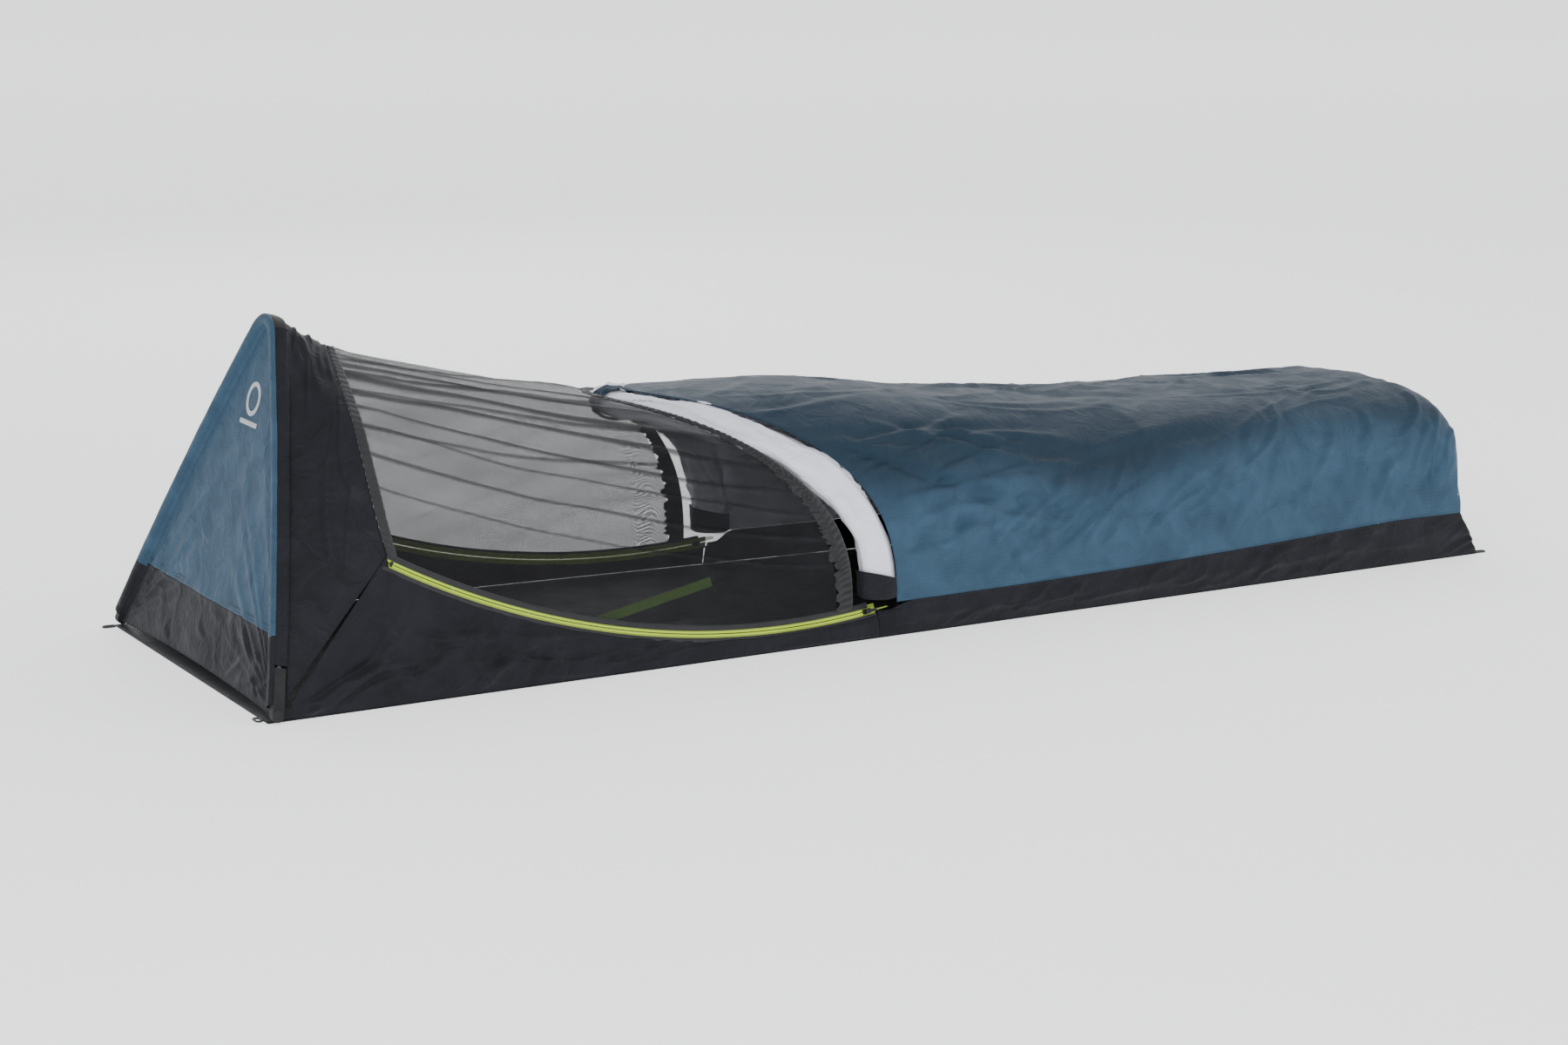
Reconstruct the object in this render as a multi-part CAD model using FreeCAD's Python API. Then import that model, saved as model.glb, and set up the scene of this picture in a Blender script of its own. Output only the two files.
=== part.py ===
import FreeCAD, Part
import math
import os

# A hooped bivy sack: a tapered floor with low walls, one bent pole that lifts the head end,
# a netting panel that zips shut over the face, and a shell that is rolled back off it.
# +X runs from head to foot, +Y to the sleeper's far side, +Z up.  A station is a distance
# from the line through the two feet of the hoop towards the foot end.  Millimetres.

# ---- overall sizes
FLOOR_LENGTH = 2150.0
HEAD_WIDTH = 660.0
FOOT_WIDTH = 480.0
HEAD_OVERHANG = 12.0          # floor ahead of the hoop's feet
FLOOR_THICK = 2.0
FABRIC = 1.5                  # every cloth panel
CLEAR = 0.3

# ---- hoop: pole, sleeve and the panel that it holds up
HOOP_HEIGHT = 508.0           # along the leaning plane, feet to pole centre at the crown
HOOP_LEAN = 15.2              # degrees from upright, towards the foot end
HOOP_OUTSET = 3.0             # pole foot outside the floor's edge
CROWN_RADIUS = 44.0
CROWN_HALF_ANGLE = 54.0
POLE_RADIUS = 4.25
POLE_BORE = 2.25
CORD_RADIUS = 1.3
CROWN_SECTION = 300.0         # length of the pre-bent middle section
LEG_SECTION = 240.0           # length of the section next to it
FERRULE_RADIUS = 5.75
FERRULE_LENGTH = 60.0
TIP_LENGTH = 22.0
SLEEVE_WIDTH = 26.0
SLEEVE_START = 70.0           # up the leg from the foot
POCKET_WIDTH = 17.0
POCKET_DEPTH = 13.0
POCKET_LENGTH = 66.0
POCKET_LIFT = 2.0             # flat sides start this far above the heel's middle
SEAM_HEIGHT = 98.0            # dark cloth below, coloured cloth above
PANEL_DROP = 4.2              # head panel below the hoop's axis
PANEL_SCALLOP = 8.0
MARK_HEIGHT = 392.0
MARK_RING = 25.0
MARK_STROKE = 7.0
MARK_BAR = 66.0

# ---- side walls, zip and netting
WALL_LEAN = 0.27              # inward per unit of height
WALL_HEAD = 24.0              # station where the wall starts
WALL_HEAD_TOP = 20.0
GUSSET_END = 72.0             # station where its soft corner ends
ZIP_FOOT = (955.0, 41.0)      # station and height of the two ends of the zip
ZIP_HEAD = (198.5, 188.5)
ZIP_RADIUS = 1229.0
COIL_RADIUS = 1.3
COIL_GAP = 2.0
TAPE_REACH = 9.0              # from the zip's middle line to the edge of its tape
TAPE_TAIL = 12.0              # tape past each end of the coils
SLIDER_LENGTH = 11.0
SLIDER_WIDTH = 8.0
PLATE = 1.2
POST_WIDTH = 0.8
PIN_RADIUS = 0.7
PIN_HEIGHT = 7.2              # pull pin above the tape
PULL_LENGTH = 20.0
PULL_WIDTH = 4.2
PULL_CORD_RADIUS = 0.8
PULL_CORD_LENGTH = 19.0
PULL_CORD_BEND = 2.6
ARCH = ((0.0, 215.0, 0.0, 458.0), (0.42, 190.0, 152.0, 378.0), (0.62, 186.0, 208.0, 311.0),
        (0.82, 186.0, 250.0, 246.0))   # share of the half arch, station, half width, height
BINDING = 10.0
HEM = 16.0
DRAPE_POWER = 2.2
NET_BACK = 26.0               # from the end of the zip forward to the end of the netting

# ---- shell and the flap rolled back on it
ROLL_RIDGE = 675.0            # station of the roll's middle at the ridge
ROLL_SWEEP = 300.0            # how much further down the sack its ends lie
ROLL_ROUND = 0.12             # how gently it turns at the ridge
ROLL_WIDTH = 60.0
ROLL_THICK = 43.0
ROLL_PROUD = 2.0
NET_RISE = 13.0               # netting above the roll's middle at the ridge
ROLL_END = 0.98
SHELL_START = 21.5            # front of the shell behind the roll's middle
KEEPER_PLACE = 0.02
KEEPER_WIDTH = 22.0
KEEPER_SLACK = 2.6
FOOT_START = 1960.0 - 2138.0  # where the rounded foot begins, from the floor's foot edge
FOOT_BULGE = 168.0
FOOT_TUCK = 0.22              # share of the bulge lost at the corners
SIDE_BULGE = 1.02
SHOULDER_POWER = 2.4
FOOT_POWER = 3.7
FOOT_ROUND = 4.5              # how square the foot is seen from the side
RIDGE = ((0.0, 356.0), (0.22, 348.0), (0.44, 316.0), (0.67, 292.0), (0.93, 280.0), (1.0, 279.0))
BAND_TOP = ((0.45, 53.0), (0.60, 55.0), (0.75, 62.0), (0.92, 76.0), (1.0, 84.0))

# ---- small pieces
POCKET_SHEET_DEPTH = 8.0      # inner pocket behind the netting
POCKET_SHEET = ((530.0, 64.0), (510.0, 78.0), (700.0, 112.0), (868.0, 146.0), (925.0, 104.0),
                (770.0, 62.0))
POCKET_TRIM_WIDTH = 14.0
GARAGE = (971.0, 1036.0, 14.0, 40.0)   # stations and heights of the cover over the zip's end
LOOP_REACH = 22.0
LOOP_WIDTH = 12.0
LOOP_CORD = 1.5

HOOP_X = -(FLOOR_LENGTH / 2 - HEAD_OVERHANG)
FOOT_EDGE = FLOOR_LENGTH - HEAD_OVERHANG
AXIS_Z = FLOOR_THICK + CLEAR + POCKET_WIDTH / 2
WALL_TAPER = (HEAD_WIDTH - FOOT_WIDTH) / 2 / FOOT_EDGE
BODY_END = FOOT_EDGE + FOOT_START
Y_AXIS = FreeCAD.Vector(0, 1, 0)
Z_AXIS = FreeCAD.Vector(0, 0, 1)


def vec(x, y, z):
    return FreeCAD.Vector(x, y, z)


def row(station, y, z):
    """A point from its station."""
    return vec(station + HOOP_X, y, z)


def mix(a, b, t):
    return a + (b - a) * t


def smooth(t):
    t = min(1.0, max(0.0, t))
    return t * t * (3 - 2 * t)


def through(points, x, column=1):
    """Smooth curve through rows of numbers, read at x of the first column: cubic pieces whose
    slope at each row is the slope between its neighbours."""
    xs = [p[0] for p in points]
    ys = [p[column] for p in points]
    last = len(xs) - 1
    slopes = [(ys[min(i + 1, last)] - ys[max(i - 1, 0)]) / (xs[min(i + 1, last)] - xs[max(i - 1, 0)])
              for i in range(last + 1)]
    if x <= xs[0]:
        return ys[0]
    if x >= xs[last]:
        return ys[last]
    i = max(k for k in range(last) if xs[k] <= x)
    h = xs[i + 1] - xs[i]
    t = (x - xs[i]) / h
    return (ys[i] * (2 * t**3 - 3 * t**2 + 1) + slopes[i] * h * (t**3 - 2 * t**2 + t)
            + ys[i + 1] * (3 * t**2 - 2 * t**3) + slopes[i + 1] * h * (t**3 - t**2))


def mirrored(shape):
    """The same piece on the far side."""
    return shape.mirror(vec(0, 0, 0), Y_AXIS)


# ---- solids
def grid_normals(rows):
    """Unit normal at each point of a grid, from its neighbours."""
    last_i, last_j = len(rows) - 1, len(rows[0]) - 1
    normals = []
    for i in range(last_i + 1):
        line = []
        for j in range(last_j + 1):
            along = rows[min(i + 1, last_i)][j] - rows[max(i - 1, 0)][j]
            across = rows[i][min(j + 1, last_j)] - rows[i][max(j - 1, 0)]
            line.append(along.cross(across).normalize())
        normals.append(line)
    return normals


def surface(rows):
    made = Part.BSplineSurface()
    made.interpolate(rows)
    return made


def borders(made):
    u0, u1, v0, v1 = made.bounds()
    return [curve.toShape() for curve in (made.uIso(u0), made.uIso(u1), made.vIso(v0), made.vIso(v1))]


def sheet(rows, inner_side, thick=FABRIC):
    """A cloth panel: the surface through a grid and the same surface moved by thick to the side
    that inner_side gives, +1 or -1 along the grid's normals, closed by ruled edges."""
    normals = grid_normals(rows)
    moved = [[p + n * (inner_side * thick) for p, n in zip(line, line_normals)]
             for line, line_normals in zip(rows, normals)]
    outer, inner = surface(rows), surface(moved)
    faces = [outer.toShape(), inner.toShape()]
    faces += [Part.makeRuledSurface(a, b) for a, b in zip(borders(outer), borders(inner))]
    shell = Part.Shell(faces)
    shell.sewShape()
    return outward(Part.Solid(shell))


def tube(sections):
    """Closed solid through a row of flat closed sections."""
    side = surface(sections)
    first, last = borders(side)[:2]
    shell = Part.Shell([side.toShape(), Part.Face(Part.Wire([first])), Part.Face(Part.Wire([last]))])
    shell.sewShape()
    return outward(Part.Solid(shell))


def outward(solid):
    if solid.Volume < 0:
        solid.reverse()
    return solid


def polygon(points):
    return Part.makePolygon(points + [points[0]])


def slab(wire, offset, thick):
    """A prism from thick below to offset above the XY plane's wire."""
    base = Part.Face(wire)
    base.translate(Z_AXIS * offset)
    return base.extrude(Z_AXIS * thick)


def box(x0, x1, y0, y1, z0, z1):
    return Part.makeBox(x1 - x0, y1 - y0, z1 - z0, vec(x0, y0, z0))


def pipe(path, profile):
    return outward(path.makePipeShell([profile], True, False))


def ring(length, width, radius, centre, along, across):
    """A closed loop of cord: two straights and two half turns, in the plane of two directions."""
    bend = width / 2 - radius
    half = length / 2 - bend - radius

    def at(x, y):
        return centre + along * x + across * y

    edges = [
        Part.LineSegment(at(-half, -bend), at(half, -bend)).toShape(),
        Part.Arc(at(half, -bend), at(half + bend, 0), at(half, bend)).toShape(),
        Part.LineSegment(at(half, bend), at(-half, bend)).toShape(),
        Part.Arc(at(-half, bend), at(-half - bend, 0), at(-half, -bend)).toShape(),
    ]
    profile = Part.Wire([Part.makeCircle(radius, at(-half, -bend), along)])
    return pipe(Part.Wire(edges), profile)


# ---- frame of the near wall: x along it towards the foot, y up it, z out of it
def wall_placement():
    along = vec(1, WALL_TAPER, 0).normalize()
    out = vec(WALL_TAPER, -1, WALL_LEAN).normalize()
    up = out.cross(along)
    start = row(0, -HEAD_WIDTH / 2, 0)
    return FreeCAD.Placement(FreeCAD.Matrix(
        along.x, up.x, out.x, start.x, along.y, up.y, out.y, start.y, along.z, up.z, out.z, start.z,
        0, 0, 0, 1))


WALL = wall_placement()


def wall_half(station, z):
    return HEAD_WIDTH / 2 - WALL_TAPER * station - WALL_LEAN * z


def on_wall(station, z):
    """Near-wall coordinates of the wall's point at a station and height."""
    return WALL.inverse().multVec(row(station, -wall_half(station, z), z))


def zip_arc():
    """Centre of the zip's arc and the angles of its ends, measured from straight down."""
    foot, head = on_wall(*ZIP_FOOT), on_wall(*ZIP_HEAD)
    half = (foot - head).Length / 2
    middle = (foot + head) * 0.5
    up = Z_AXIS.cross(foot - head).normalize()
    centre = middle + up * math.sqrt(ZIP_RADIUS**2 - half**2)
    angles = [math.atan2(p.x - centre.x, centre.y - p.y) for p in (head, foot)]
    return centre, angles[0], angles[1]


ZIP_CENTRE, ZIP_START, ZIP_STOP = zip_arc()
TAIL = TAPE_TAIL / ZIP_RADIUS


def on_arc(radius, angle, out=0.0):
    return vec(ZIP_CENTRE.x + radius * math.sin(angle), ZIP_CENTRE.y - radius * math.cos(angle), out)


def arc_edge(radius, start, stop):
    return Part.Arc(on_arc(radius, start), on_arc(radius, (start + stop) / 2),
                    on_arc(radius, stop)).toShape()


def arc_band(inner, outer, start, stop, low, high):
    """A flat band that follows the zip's arc, placed on the near wall."""
    wire = Part.Wire([
        arc_edge(inner, start, stop),
        Part.LineSegment(on_arc(inner, stop), on_arc(outer, stop)).toShape(),
        arc_edge(outer, stop, start),
        Part.LineSegment(on_arc(outer, start), on_arc(inner, start)).toShape()])
    return placed(slab(wire, low, high - low))


def placed(shape, where=None):
    shape = shape.copy()
    shape.Placement = (where or WALL).multiply(shape.Placement)
    return shape


def coil(radius, start, stop):
    """One side's row of teeth: a round bead turned about the arc's centre."""
    bead = Part.Face(Part.Wire([Part.makeCircle(COIL_RADIUS, on_arc(radius, start, COIL_RADIUS),
                                                vec(math.cos(start), math.sin(start), 0))]))
    turned = bead.revolve(vec(ZIP_CENTRE.x, ZIP_CENTRE.y, 0), Z_AXIS, math.degrees(stop - start))
    return placed(outward(turned))


def zip_line(share, radius=ZIP_RADIUS - TAPE_REACH):
    """Row point on the near zip, from its head end at share 0 to its foot end at 1."""
    return WALL.multVec(on_arc(radius, mix(ZIP_START, ZIP_STOP, share)))


# ---- frame of the hoop: x across to the far side, y up the leaning plane, z to the foot end
def hoop_placement():
    lean = math.radians(HOOP_LEAN)
    up = vec(math.sin(lean), 0, math.cos(lean))
    out = Y_AXIS.cross(up)
    return FreeCAD.Placement(FreeCAD.Matrix(
        0, up.x, out.x, HOOP_X, 1, up.y, out.y, 0, 0, up.z, out.z, AXIS_Z, 0, 0, 0, 1))


HOOP = hoop_placement()
CROWN_TURN = math.radians(CROWN_HALF_ANGLE)
CROWN_CENTRE = HOOP_HEIGHT - CROWN_RADIUS


def leg_arc():
    """Radius and centre of a leg's arc, tangent to the crown and through the foot."""
    joint = vec(CROWN_RADIUS * math.sin(CROWN_TURN), CROWN_CENTRE + CROWN_RADIUS * math.cos(CROWN_TURN), 0)
    foot = vec(HEAD_WIDTH / 2 + HOOP_OUTSET, 0, 0)
    inward = vec(math.sin(CROWN_TURN), math.cos(CROWN_TURN), 0)
    step = foot - joint
    radius = -step.dot(step) / (2 * step.dot(inward))
    centre = joint - inward * radius
    return radius, centre, math.acos(-centre.y / radius)


LEG_RADIUS, LEG_CENTRE, LEG_TURN = leg_arc()
CROWN_LENGTH = CROWN_RADIUS * CROWN_TURN
POLE_HALF = CROWN_LENGTH + LEG_RADIUS * (LEG_TURN - CROWN_TURN)


def hoop_at(length, inward=0.0):
    """Point of the pole's middle line at a signed length from the crown, and its outward angle."""
    side = 1.0 if length >= 0 else -1.0
    reach = abs(length)
    if reach <= CROWN_LENGTH:
        turn, radius, centre = reach / CROWN_RADIUS, CROWN_RADIUS, vec(0, CROWN_CENTRE, 0)
    else:
        turn, radius, centre = CROWN_TURN + (reach - CROWN_LENGTH) / LEG_RADIUS, LEG_RADIUS, LEG_CENTRE
    radius -= inward
    return vec(side * (centre.x + radius * math.sin(turn)), centre.y + radius * math.cos(turn), 0)


def hoop_height_length(height):
    """Length from the crown down to where the leg passes a height in the hoop's plane."""
    return CROWN_LENGTH + LEG_RADIUS * (math.acos((height - LEG_CENTRE.y) / LEG_RADIUS) - CROWN_TURN)


def hoop_edges(start, stop, inward=0.0):
    """Arcs along the pole's line between two signed lengths."""
    cuts = [start] + [c for c in (-CROWN_LENGTH, CROWN_LENGTH) if start < c < stop] + [stop]
    return [Part.Arc(hoop_at(a, inward), hoop_at((a + b) / 2, inward), hoop_at(b, inward)).toShape()
            for a, b in zip(cuts, cuts[1:])]


def hoop_pipe(start, stop, profile_of):
    """A section carried along the pole's line; profile_of(point, direction) gives its wire."""
    edges = hoop_edges(start, stop)
    first = edges[0]
    point, direction = first.Vertexes[0].Point, first.tangentAt(first.FirstParameter)
    return pipe(Part.Wire(edges), profile_of(point, direction))


def round_section(radius):
    return lambda point, direction: Part.Wire([Part.makeCircle(radius, point, direction)])


def rounded_section(width, depth):
    """A flattened tube: width along the hoop's normal, depth in its plane, round at both sides."""
    def make(point, direction):
        side = Z_AXIS.cross(direction).normalize()
        half, bend = width / 2 - depth / 2, depth / 2

        def at(n, r):
            return point + Z_AXIS * n + side * r

        return Part.Wire([
            Part.LineSegment(at(-half, bend), at(half, bend)).toShape(),
            Part.Arc(at(half, bend), at(half + bend, 0), at(half, -bend)).toShape(),
            Part.LineSegment(at(half, -bend), at(-half, -bend)).toShape(),
            Part.Arc(at(-half, -bend), at(-half - bend, 0), at(-half, bend)).toShape()])
    return make


def flat_section(width, depth):
    def make(point, direction):
        side = Z_AXIS.cross(direction).normalize()
        return polygon([point + Z_AXIS * n * width / 2 + side * r * depth / 2
                        for n, r in ((-1, -1), (1, -1), (1, 1), (-1, 1))])
    return make


# ---- form of the shell over the sleeper
def body_share(station):
    return (station - ROLL_RIDGE) / (BODY_END - ROLL_RIDGE)


def half_width(station):
    return HEAD_WIDTH / 2 - WALL_TAPER * station


def band_top(station):
    return through(BAND_TOP, station / FOOT_EDGE)


def section_powers(station):
    return mix(SHOULDER_POWER, FOOT_POWER, smooth(body_share(station)))


def form(station, share):
    """Point of the shell at a station; share runs from -1 at the near band to 1 at the far one."""
    power = 2 / section_powers(station)
    angle = share * math.pi / 2
    side = math.copysign(abs(math.sin(angle)) ** power, share)
    low, high = band_top(station), through(RIDGE, body_share(station))
    width = SIDE_BULGE * half_width(station)
    return row(station, width * side, low + (high - low) * max(0.0, math.cos(angle)) ** power)


def foot_form(share, turn):
    """Point of the rounded foot; turn runs from 0 where it starts to 1 at its lower edge."""
    start = form(BODY_END, share)
    low = band_top(BODY_END)
    bend = math.sin(turn * math.pi / 2) ** (2 / FOOT_ROUND)
    drop = max(0.0, math.cos(turn * math.pi / 2)) ** (2 / FOOT_ROUND)
    side = abs(start.y) / (SIDE_BULGE * half_width(BODY_END))
    reach = FOOT_BULGE * bend * (1 - FOOT_TUCK * side**6)
    return row(BODY_END + reach, start.y, low + (start.z - low) * drop)


def roll_station(share):
    across = math.hypot(math.sin(share * math.pi / 2), ROLL_ROUND) - ROLL_ROUND
    return ROLL_RIDGE + ROLL_SWEEP * across / (math.hypot(1, ROLL_ROUND) - ROLL_ROUND)


def roll_frame(share):
    """Middle of the roll and its two cross directions: towards the foot, and out of the form."""
    step = 0.004
    base = form(roll_station(share), share)
    path = form(roll_station(share + step), share + step) - form(roll_station(share - step), share - step)
    along = form(roll_station(share) + 2, share) - form(roll_station(share) - 2, share)
    normal = along.cross(path).normalize()
    towards = path.cross(normal).normalize()
    centre = base - normal * (ROLL_THICK / 2 - ROLL_PROUD)
    return centre, towards, normal


def roll_section(share, grow=0.0, corners=20):
    """Points of the roll's oval section, the first one repeated at the end."""
    centre, towards, normal = roll_frame(share)
    turns = [2 * math.pi * k / corners for k in range(corners)]
    points = [centre + towards * ((ROLL_WIDTH / 2 + grow) * math.cos(turn))
              + normal * ((ROLL_THICK / 2 + grow) * math.sin(turn)) for turn in turns]
    return points + [points[0]]


def spread(count, power=1.0):
    """Shares from -1 to 1, closer together near the ends when power is above 1."""
    flat = [2 * k / (count - 1) - 1 for k in range(count)]
    return [math.copysign(1 - (1 - abs(t)) ** power, t) for t in flat]


# ---- netting and canopy between the hoop and the roll
def hood_edge(share):
    """Rear edge of the sleeve, where the canopy is sewn on."""
    low = hoop_height_length(WALL_HEAD_TOP / math.cos(math.radians(HOOP_LEAN)))
    point = hoop_at(share * low)
    point.z = SLEEVE_WIDTH / 2 + 5 * CLEAR
    return HOOP.multVec(point)


def zip_end(share):
    """Head end of the zip on the side that share's sign gives."""
    point = WALL.multVec(on_arc(ZIP_RADIUS - TAPE_REACH, ZIP_START - TAIL))
    return vec(point.x, math.copysign(point.y, share), point.z)


def arch(share):
    """Rear edge of the canopy, from the near zip over the ridge to the far one."""
    end = zip_end(share)
    points = ARCH + ((1.0, end.x - HOOP_X, abs(end.y), end.z),)
    at = abs(share)
    return row(through(points, at, 1), math.copysign(through(points, at, 2), share), through(points, at, 3))


def net_edge(share):
    """Front of the roll, where the netting ends."""
    centre, towards, normal = roll_frame(share * ROLL_END)
    return centre - towards * (ROLL_WIDTH / 2 + 2) + normal * (NET_RISE * (1 - share**2))


def net(length, share):
    """Netting from the arch at length 0 to the roll at 1, its sides brought onto the zips."""
    point = mix(arch(share), net_edge(share), length)
    side = math.copysign(1.0, share)
    on_zip = zip_line(mix(-TAIL / (ZIP_STOP - ZIP_START), NET_SHARE, length))
    on_zip.y = math.copysign(on_zip.y, side)
    chord = mix(arch(side), net_edge(side), length)
    return point + (on_zip - chord) * abs(share) ** DRAPE_POWER


NET_SHARE = 1 - NET_BACK / (ZIP_RADIUS * (ZIP_STOP - ZIP_START))
NET_LENGTH = (net_edge(0) - arch(0)).Length
BINDING_SHARE = BINDING / NET_LENGTH
HEM_SHARE = HEM / NET_LENGTH
NET_GAP = 2 * CLEAR / NET_LENGTH


def net_strip(start, stop, rows, columns=23):
    return [[net(mix(start, stop, i / (rows - 1)), s) for s in spread(columns, 1.3)] for i in range(rows)]


# ---- pieces fixed to the floor
def floor_sheet():
    corners = [row(-HEAD_OVERHANG, -HEAD_WIDTH / 2, 0), row(FOOT_EDGE, -FOOT_WIDTH / 2, 0),
               row(FOOT_EDGE, FOOT_WIDTH / 2, 0), row(-HEAD_OVERHANG, HEAD_WIDTH / 2, 0)]
    return slab(polygon(corners), 0, FLOOR_THICK)


def wall_seam(station):
    """Point at a station on the straight seam between the wall and the canopy."""
    low, high = on_wall(WALL_HEAD, WALL_HEAD_TOP), on_arc(ZIP_RADIUS - TAPE_REACH, ZIP_START - TAIL)
    return mix(low, high, (station - WALL_HEAD) / (zip_end(-1).x - HOOP_X - WALL_HEAD))


def wall_gusset():
    """Soft corner of the wall beside the hoop's foot."""
    base = FLOOR_THICK + FABRIC * WALL_LEAN
    corners = [wall_seam(WALL_HEAD), on_wall(WALL_HEAD, base), on_wall(GUSSET_END, base), wall_seam(GUSSET_END)]
    return placed(slab(polygon(corners), -FABRIC, FABRIC))


def side_wall():
    """Flat leaning wall beside the sleeper's head, cut along the zip's tape."""
    outer, inner = ZIP_RADIUS + TAPE_REACH, ZIP_RADIUS - TAPE_REACH
    start, stop = ZIP_START - TAIL, ZIP_STOP + TAIL
    base = FLOOR_THICK + FABRIC * WALL_LEAN
    front = GUSSET_END + CLEAR
    corners = [on_arc(inner, start), wall_seam(front), on_wall(front, base), on_wall(wall_rear(), base),
               on_arc(outer, stop)]
    edges = [Part.LineSegment(a, b).toShape() for a, b in zip(corners, corners[1:])]
    edges += [arc_edge(outer, stop, start),
              Part.LineSegment(on_arc(outer, start), on_arc(inner, start)).toShape()]
    return placed(slab(Part.Wire(edges), -FABRIC, FABRIC))


def wall_rear():
    """Station where the flat wall ends and the low band begins."""
    return WALL.multVec(on_arc(ZIP_RADIUS + TAPE_REACH, ZIP_STOP + TAIL)).x - HOOP_X


def band_point(length, height):
    """Near low band from the flat wall to the foot corner; height 0 at the floor, 1 at its top."""
    start = wall_rear()
    corner = BODY_END + FOOT_BULGE * (1 - FOOT_TUCK)
    bottom = mix(start, FOOT_EDGE, length)
    top = mix(start, corner, length)
    grown = smooth((top - start) / 60)
    wall_top = WALL.multVec(on_arc(ZIP_RADIUS + TAPE_REACH, ZIP_STOP + TAIL)).z
    high = mix(wall_top, band_top(min(top, BODY_END)), grown)
    width = mix(wall_half(top, high), SIDE_BULGE * half_width(min(top, BODY_END)), grown)
    low = row(bottom, -half_width(bottom), FLOOR_THICK + FABRIC * 0.25)
    return mix(low, row(top, -width, high), height)


def low_band():
    shares = [0, 0.012, 0.025, 0.04, 0.055, 0.075] + [0.1 + 0.9 * k / 12 for k in range(13)]
    return sheet([[band_point(p, t / 4) for t in range(5)] for p in shares], 1)


def foot_band():
    """Low band across the foot, between the two corners."""
    inset = FABRIC + CLEAR
    rows = []
    for s in spread(17):
        bottom = row(FOOT_EDGE, s * (FOOT_WIDTH / 2 - inset), FLOOR_THICK + FABRIC * 0.7)
        top = foot_form(s, 1)
        top.y *= 1 - inset / abs(top.y) if s else 1
        top.x += CLEAR
        rows.append([mix(bottom, top, t / 4) for t in range(5)])
    return sheet(rows, -1)


def shell_body():
    """Shell from the rolled flap to the start of the foot, down to the bands."""
    rows = []
    for i in range(12):
        line = []
        for s in spread(27, 1.25):
            front = roll_station(s) + SHELL_START / roll_frame(s * ROLL_END)[1].x
            point = form(mix(front, BODY_END, i / 11), s)
            point.z += CLEAR
            line.append(point)
        rows.append(line)
    return sheet(rows, 1)


def foot_cap():
    turns = [0, 0.02, 0.06, 0.14, 0.25, 0.38, 0.5, 0.62, 0.75, 0.86, 0.94, 0.98, 1]
    rows = [[foot_form(s, turn) + Z_AXIS * CLEAR for s in spread(27, 1.25)] for turn in turns]
    for line in rows:
        for point in line:
            point.x += CLEAR
    return sheet(rows, 1)


def rolled_flap():
    shares = [s * ROLL_END for s in spread(19, 1.35)]
    return tube([roll_section(s) for s in shares])


def flap_keeper():
    """Strap round the roll at the ridge."""
    centre, towards, normal = roll_frame(KEEPER_PLACE)
    path = normal.cross(towards)
    solids = []
    for grow in (KEEPER_SLACK + FABRIC, KEEPER_SLACK):
        oval = Part.Ellipse(centre + towards * (ROLL_WIDTH / 2 + grow),
                            centre + normal * (ROLL_THICK / 2 + grow), centre)
        face = Part.Face(Part.Wire([oval.toShape()]))
        face.translate(path * (-KEEPER_WIDTH / 2))
        solids.append(face.extrude(path * KEEPER_WIDTH))
    return solids[0].cut(solids[1])


def hood_canopy():
    rows = [[mix(hood_edge(s), arch(s), i / 6) for s in spread(23, 1.1)] for i in range(7)]
    return sheet(rows, 1)


def canopy_binding():
    return sheet(net_strip(NET_GAP, BINDING_SHARE, 3), 1)


def mesh_panel():
    return sheet(net_strip(BINDING_SHARE + NET_GAP, 1 - HEM_SHARE - NET_GAP, 13), 1)


def mesh_hem():
    return sheet(net_strip(1 - HEM_SHARE, 1, 3), 1)


def inner_pocket():
    """Flat pocket behind the netting, above the near zip."""
    corners = [on_wall(*p) for p in POCKET_SHEET]
    return placed(slab(polygon(corners), -POCKET_SHEET_DEPTH - FABRIC, FABRIC))


def pocket_trim():
    """Bright edging along the pocket's mouth."""
    start, stop = (on_wall(*p) for p in POCKET_SHEET[1:3])
    across = Z_AXIS.cross((stop - start).normalize()) * (POCKET_TRIM_WIDTH / 2)
    corners = [start - across, stop - across, stop + across, start + across]
    return placed(slab(polygon(corners), -POCKET_SHEET_DEPTH, FABRIC))


def zip_garage():
    """Small cover over the zip's lower end, laid on the low band."""
    first, last, low, high = GARAGE
    start = wall_rear()
    rows = []
    for i in range(5):
        length = (mix(first, last, i / 4) - start) / (FOOT_EDGE - start)
        lower, upper = (band_point(length, t) for t in (0, 1))
        rows.append([mix(lower, upper, mix(low, high, j / 3) / upper.z) + vec(0, -FABRIC - 2 * CLEAR, 0)
                     for j in range(4)])
    return sheet(rows, 1)


def zip_tape(side):
    """One tape; side is 1 for the lower one, on the wall, and -1 for the upper, on the netting."""
    near, far = sorted((ZIP_RADIUS + side * COIL_GAP / 2, ZIP_RADIUS + side * TAPE_REACH))
    return arc_band(near, far, ZIP_START - TAIL, ZIP_STOP + TAIL, -FABRIC, 0)


def zip_coil(side):
    return coil(ZIP_RADIUS + side * (COIL_GAP / 2 + COIL_RADIUS), ZIP_START, ZIP_STOP)


def zip_stops():
    """Stops clamped over both tapes just past the coils."""
    reach = COIL_GAP / 2 + 2 * COIL_RADIUS
    inner, outer = ZIP_RADIUS - reach, ZIP_RADIUS + reach
    gap, length = CLEAR / ZIP_RADIUS, 3.5 / ZIP_RADIUS
    ends = ((ZIP_START - gap - length, ZIP_START - gap), (ZIP_STOP + gap, ZIP_STOP + gap + length))
    return Part.Compound([arc_band(inner, outer, a, b, 0, 2 * COIL_RADIUS) for a, b in ends])


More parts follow.
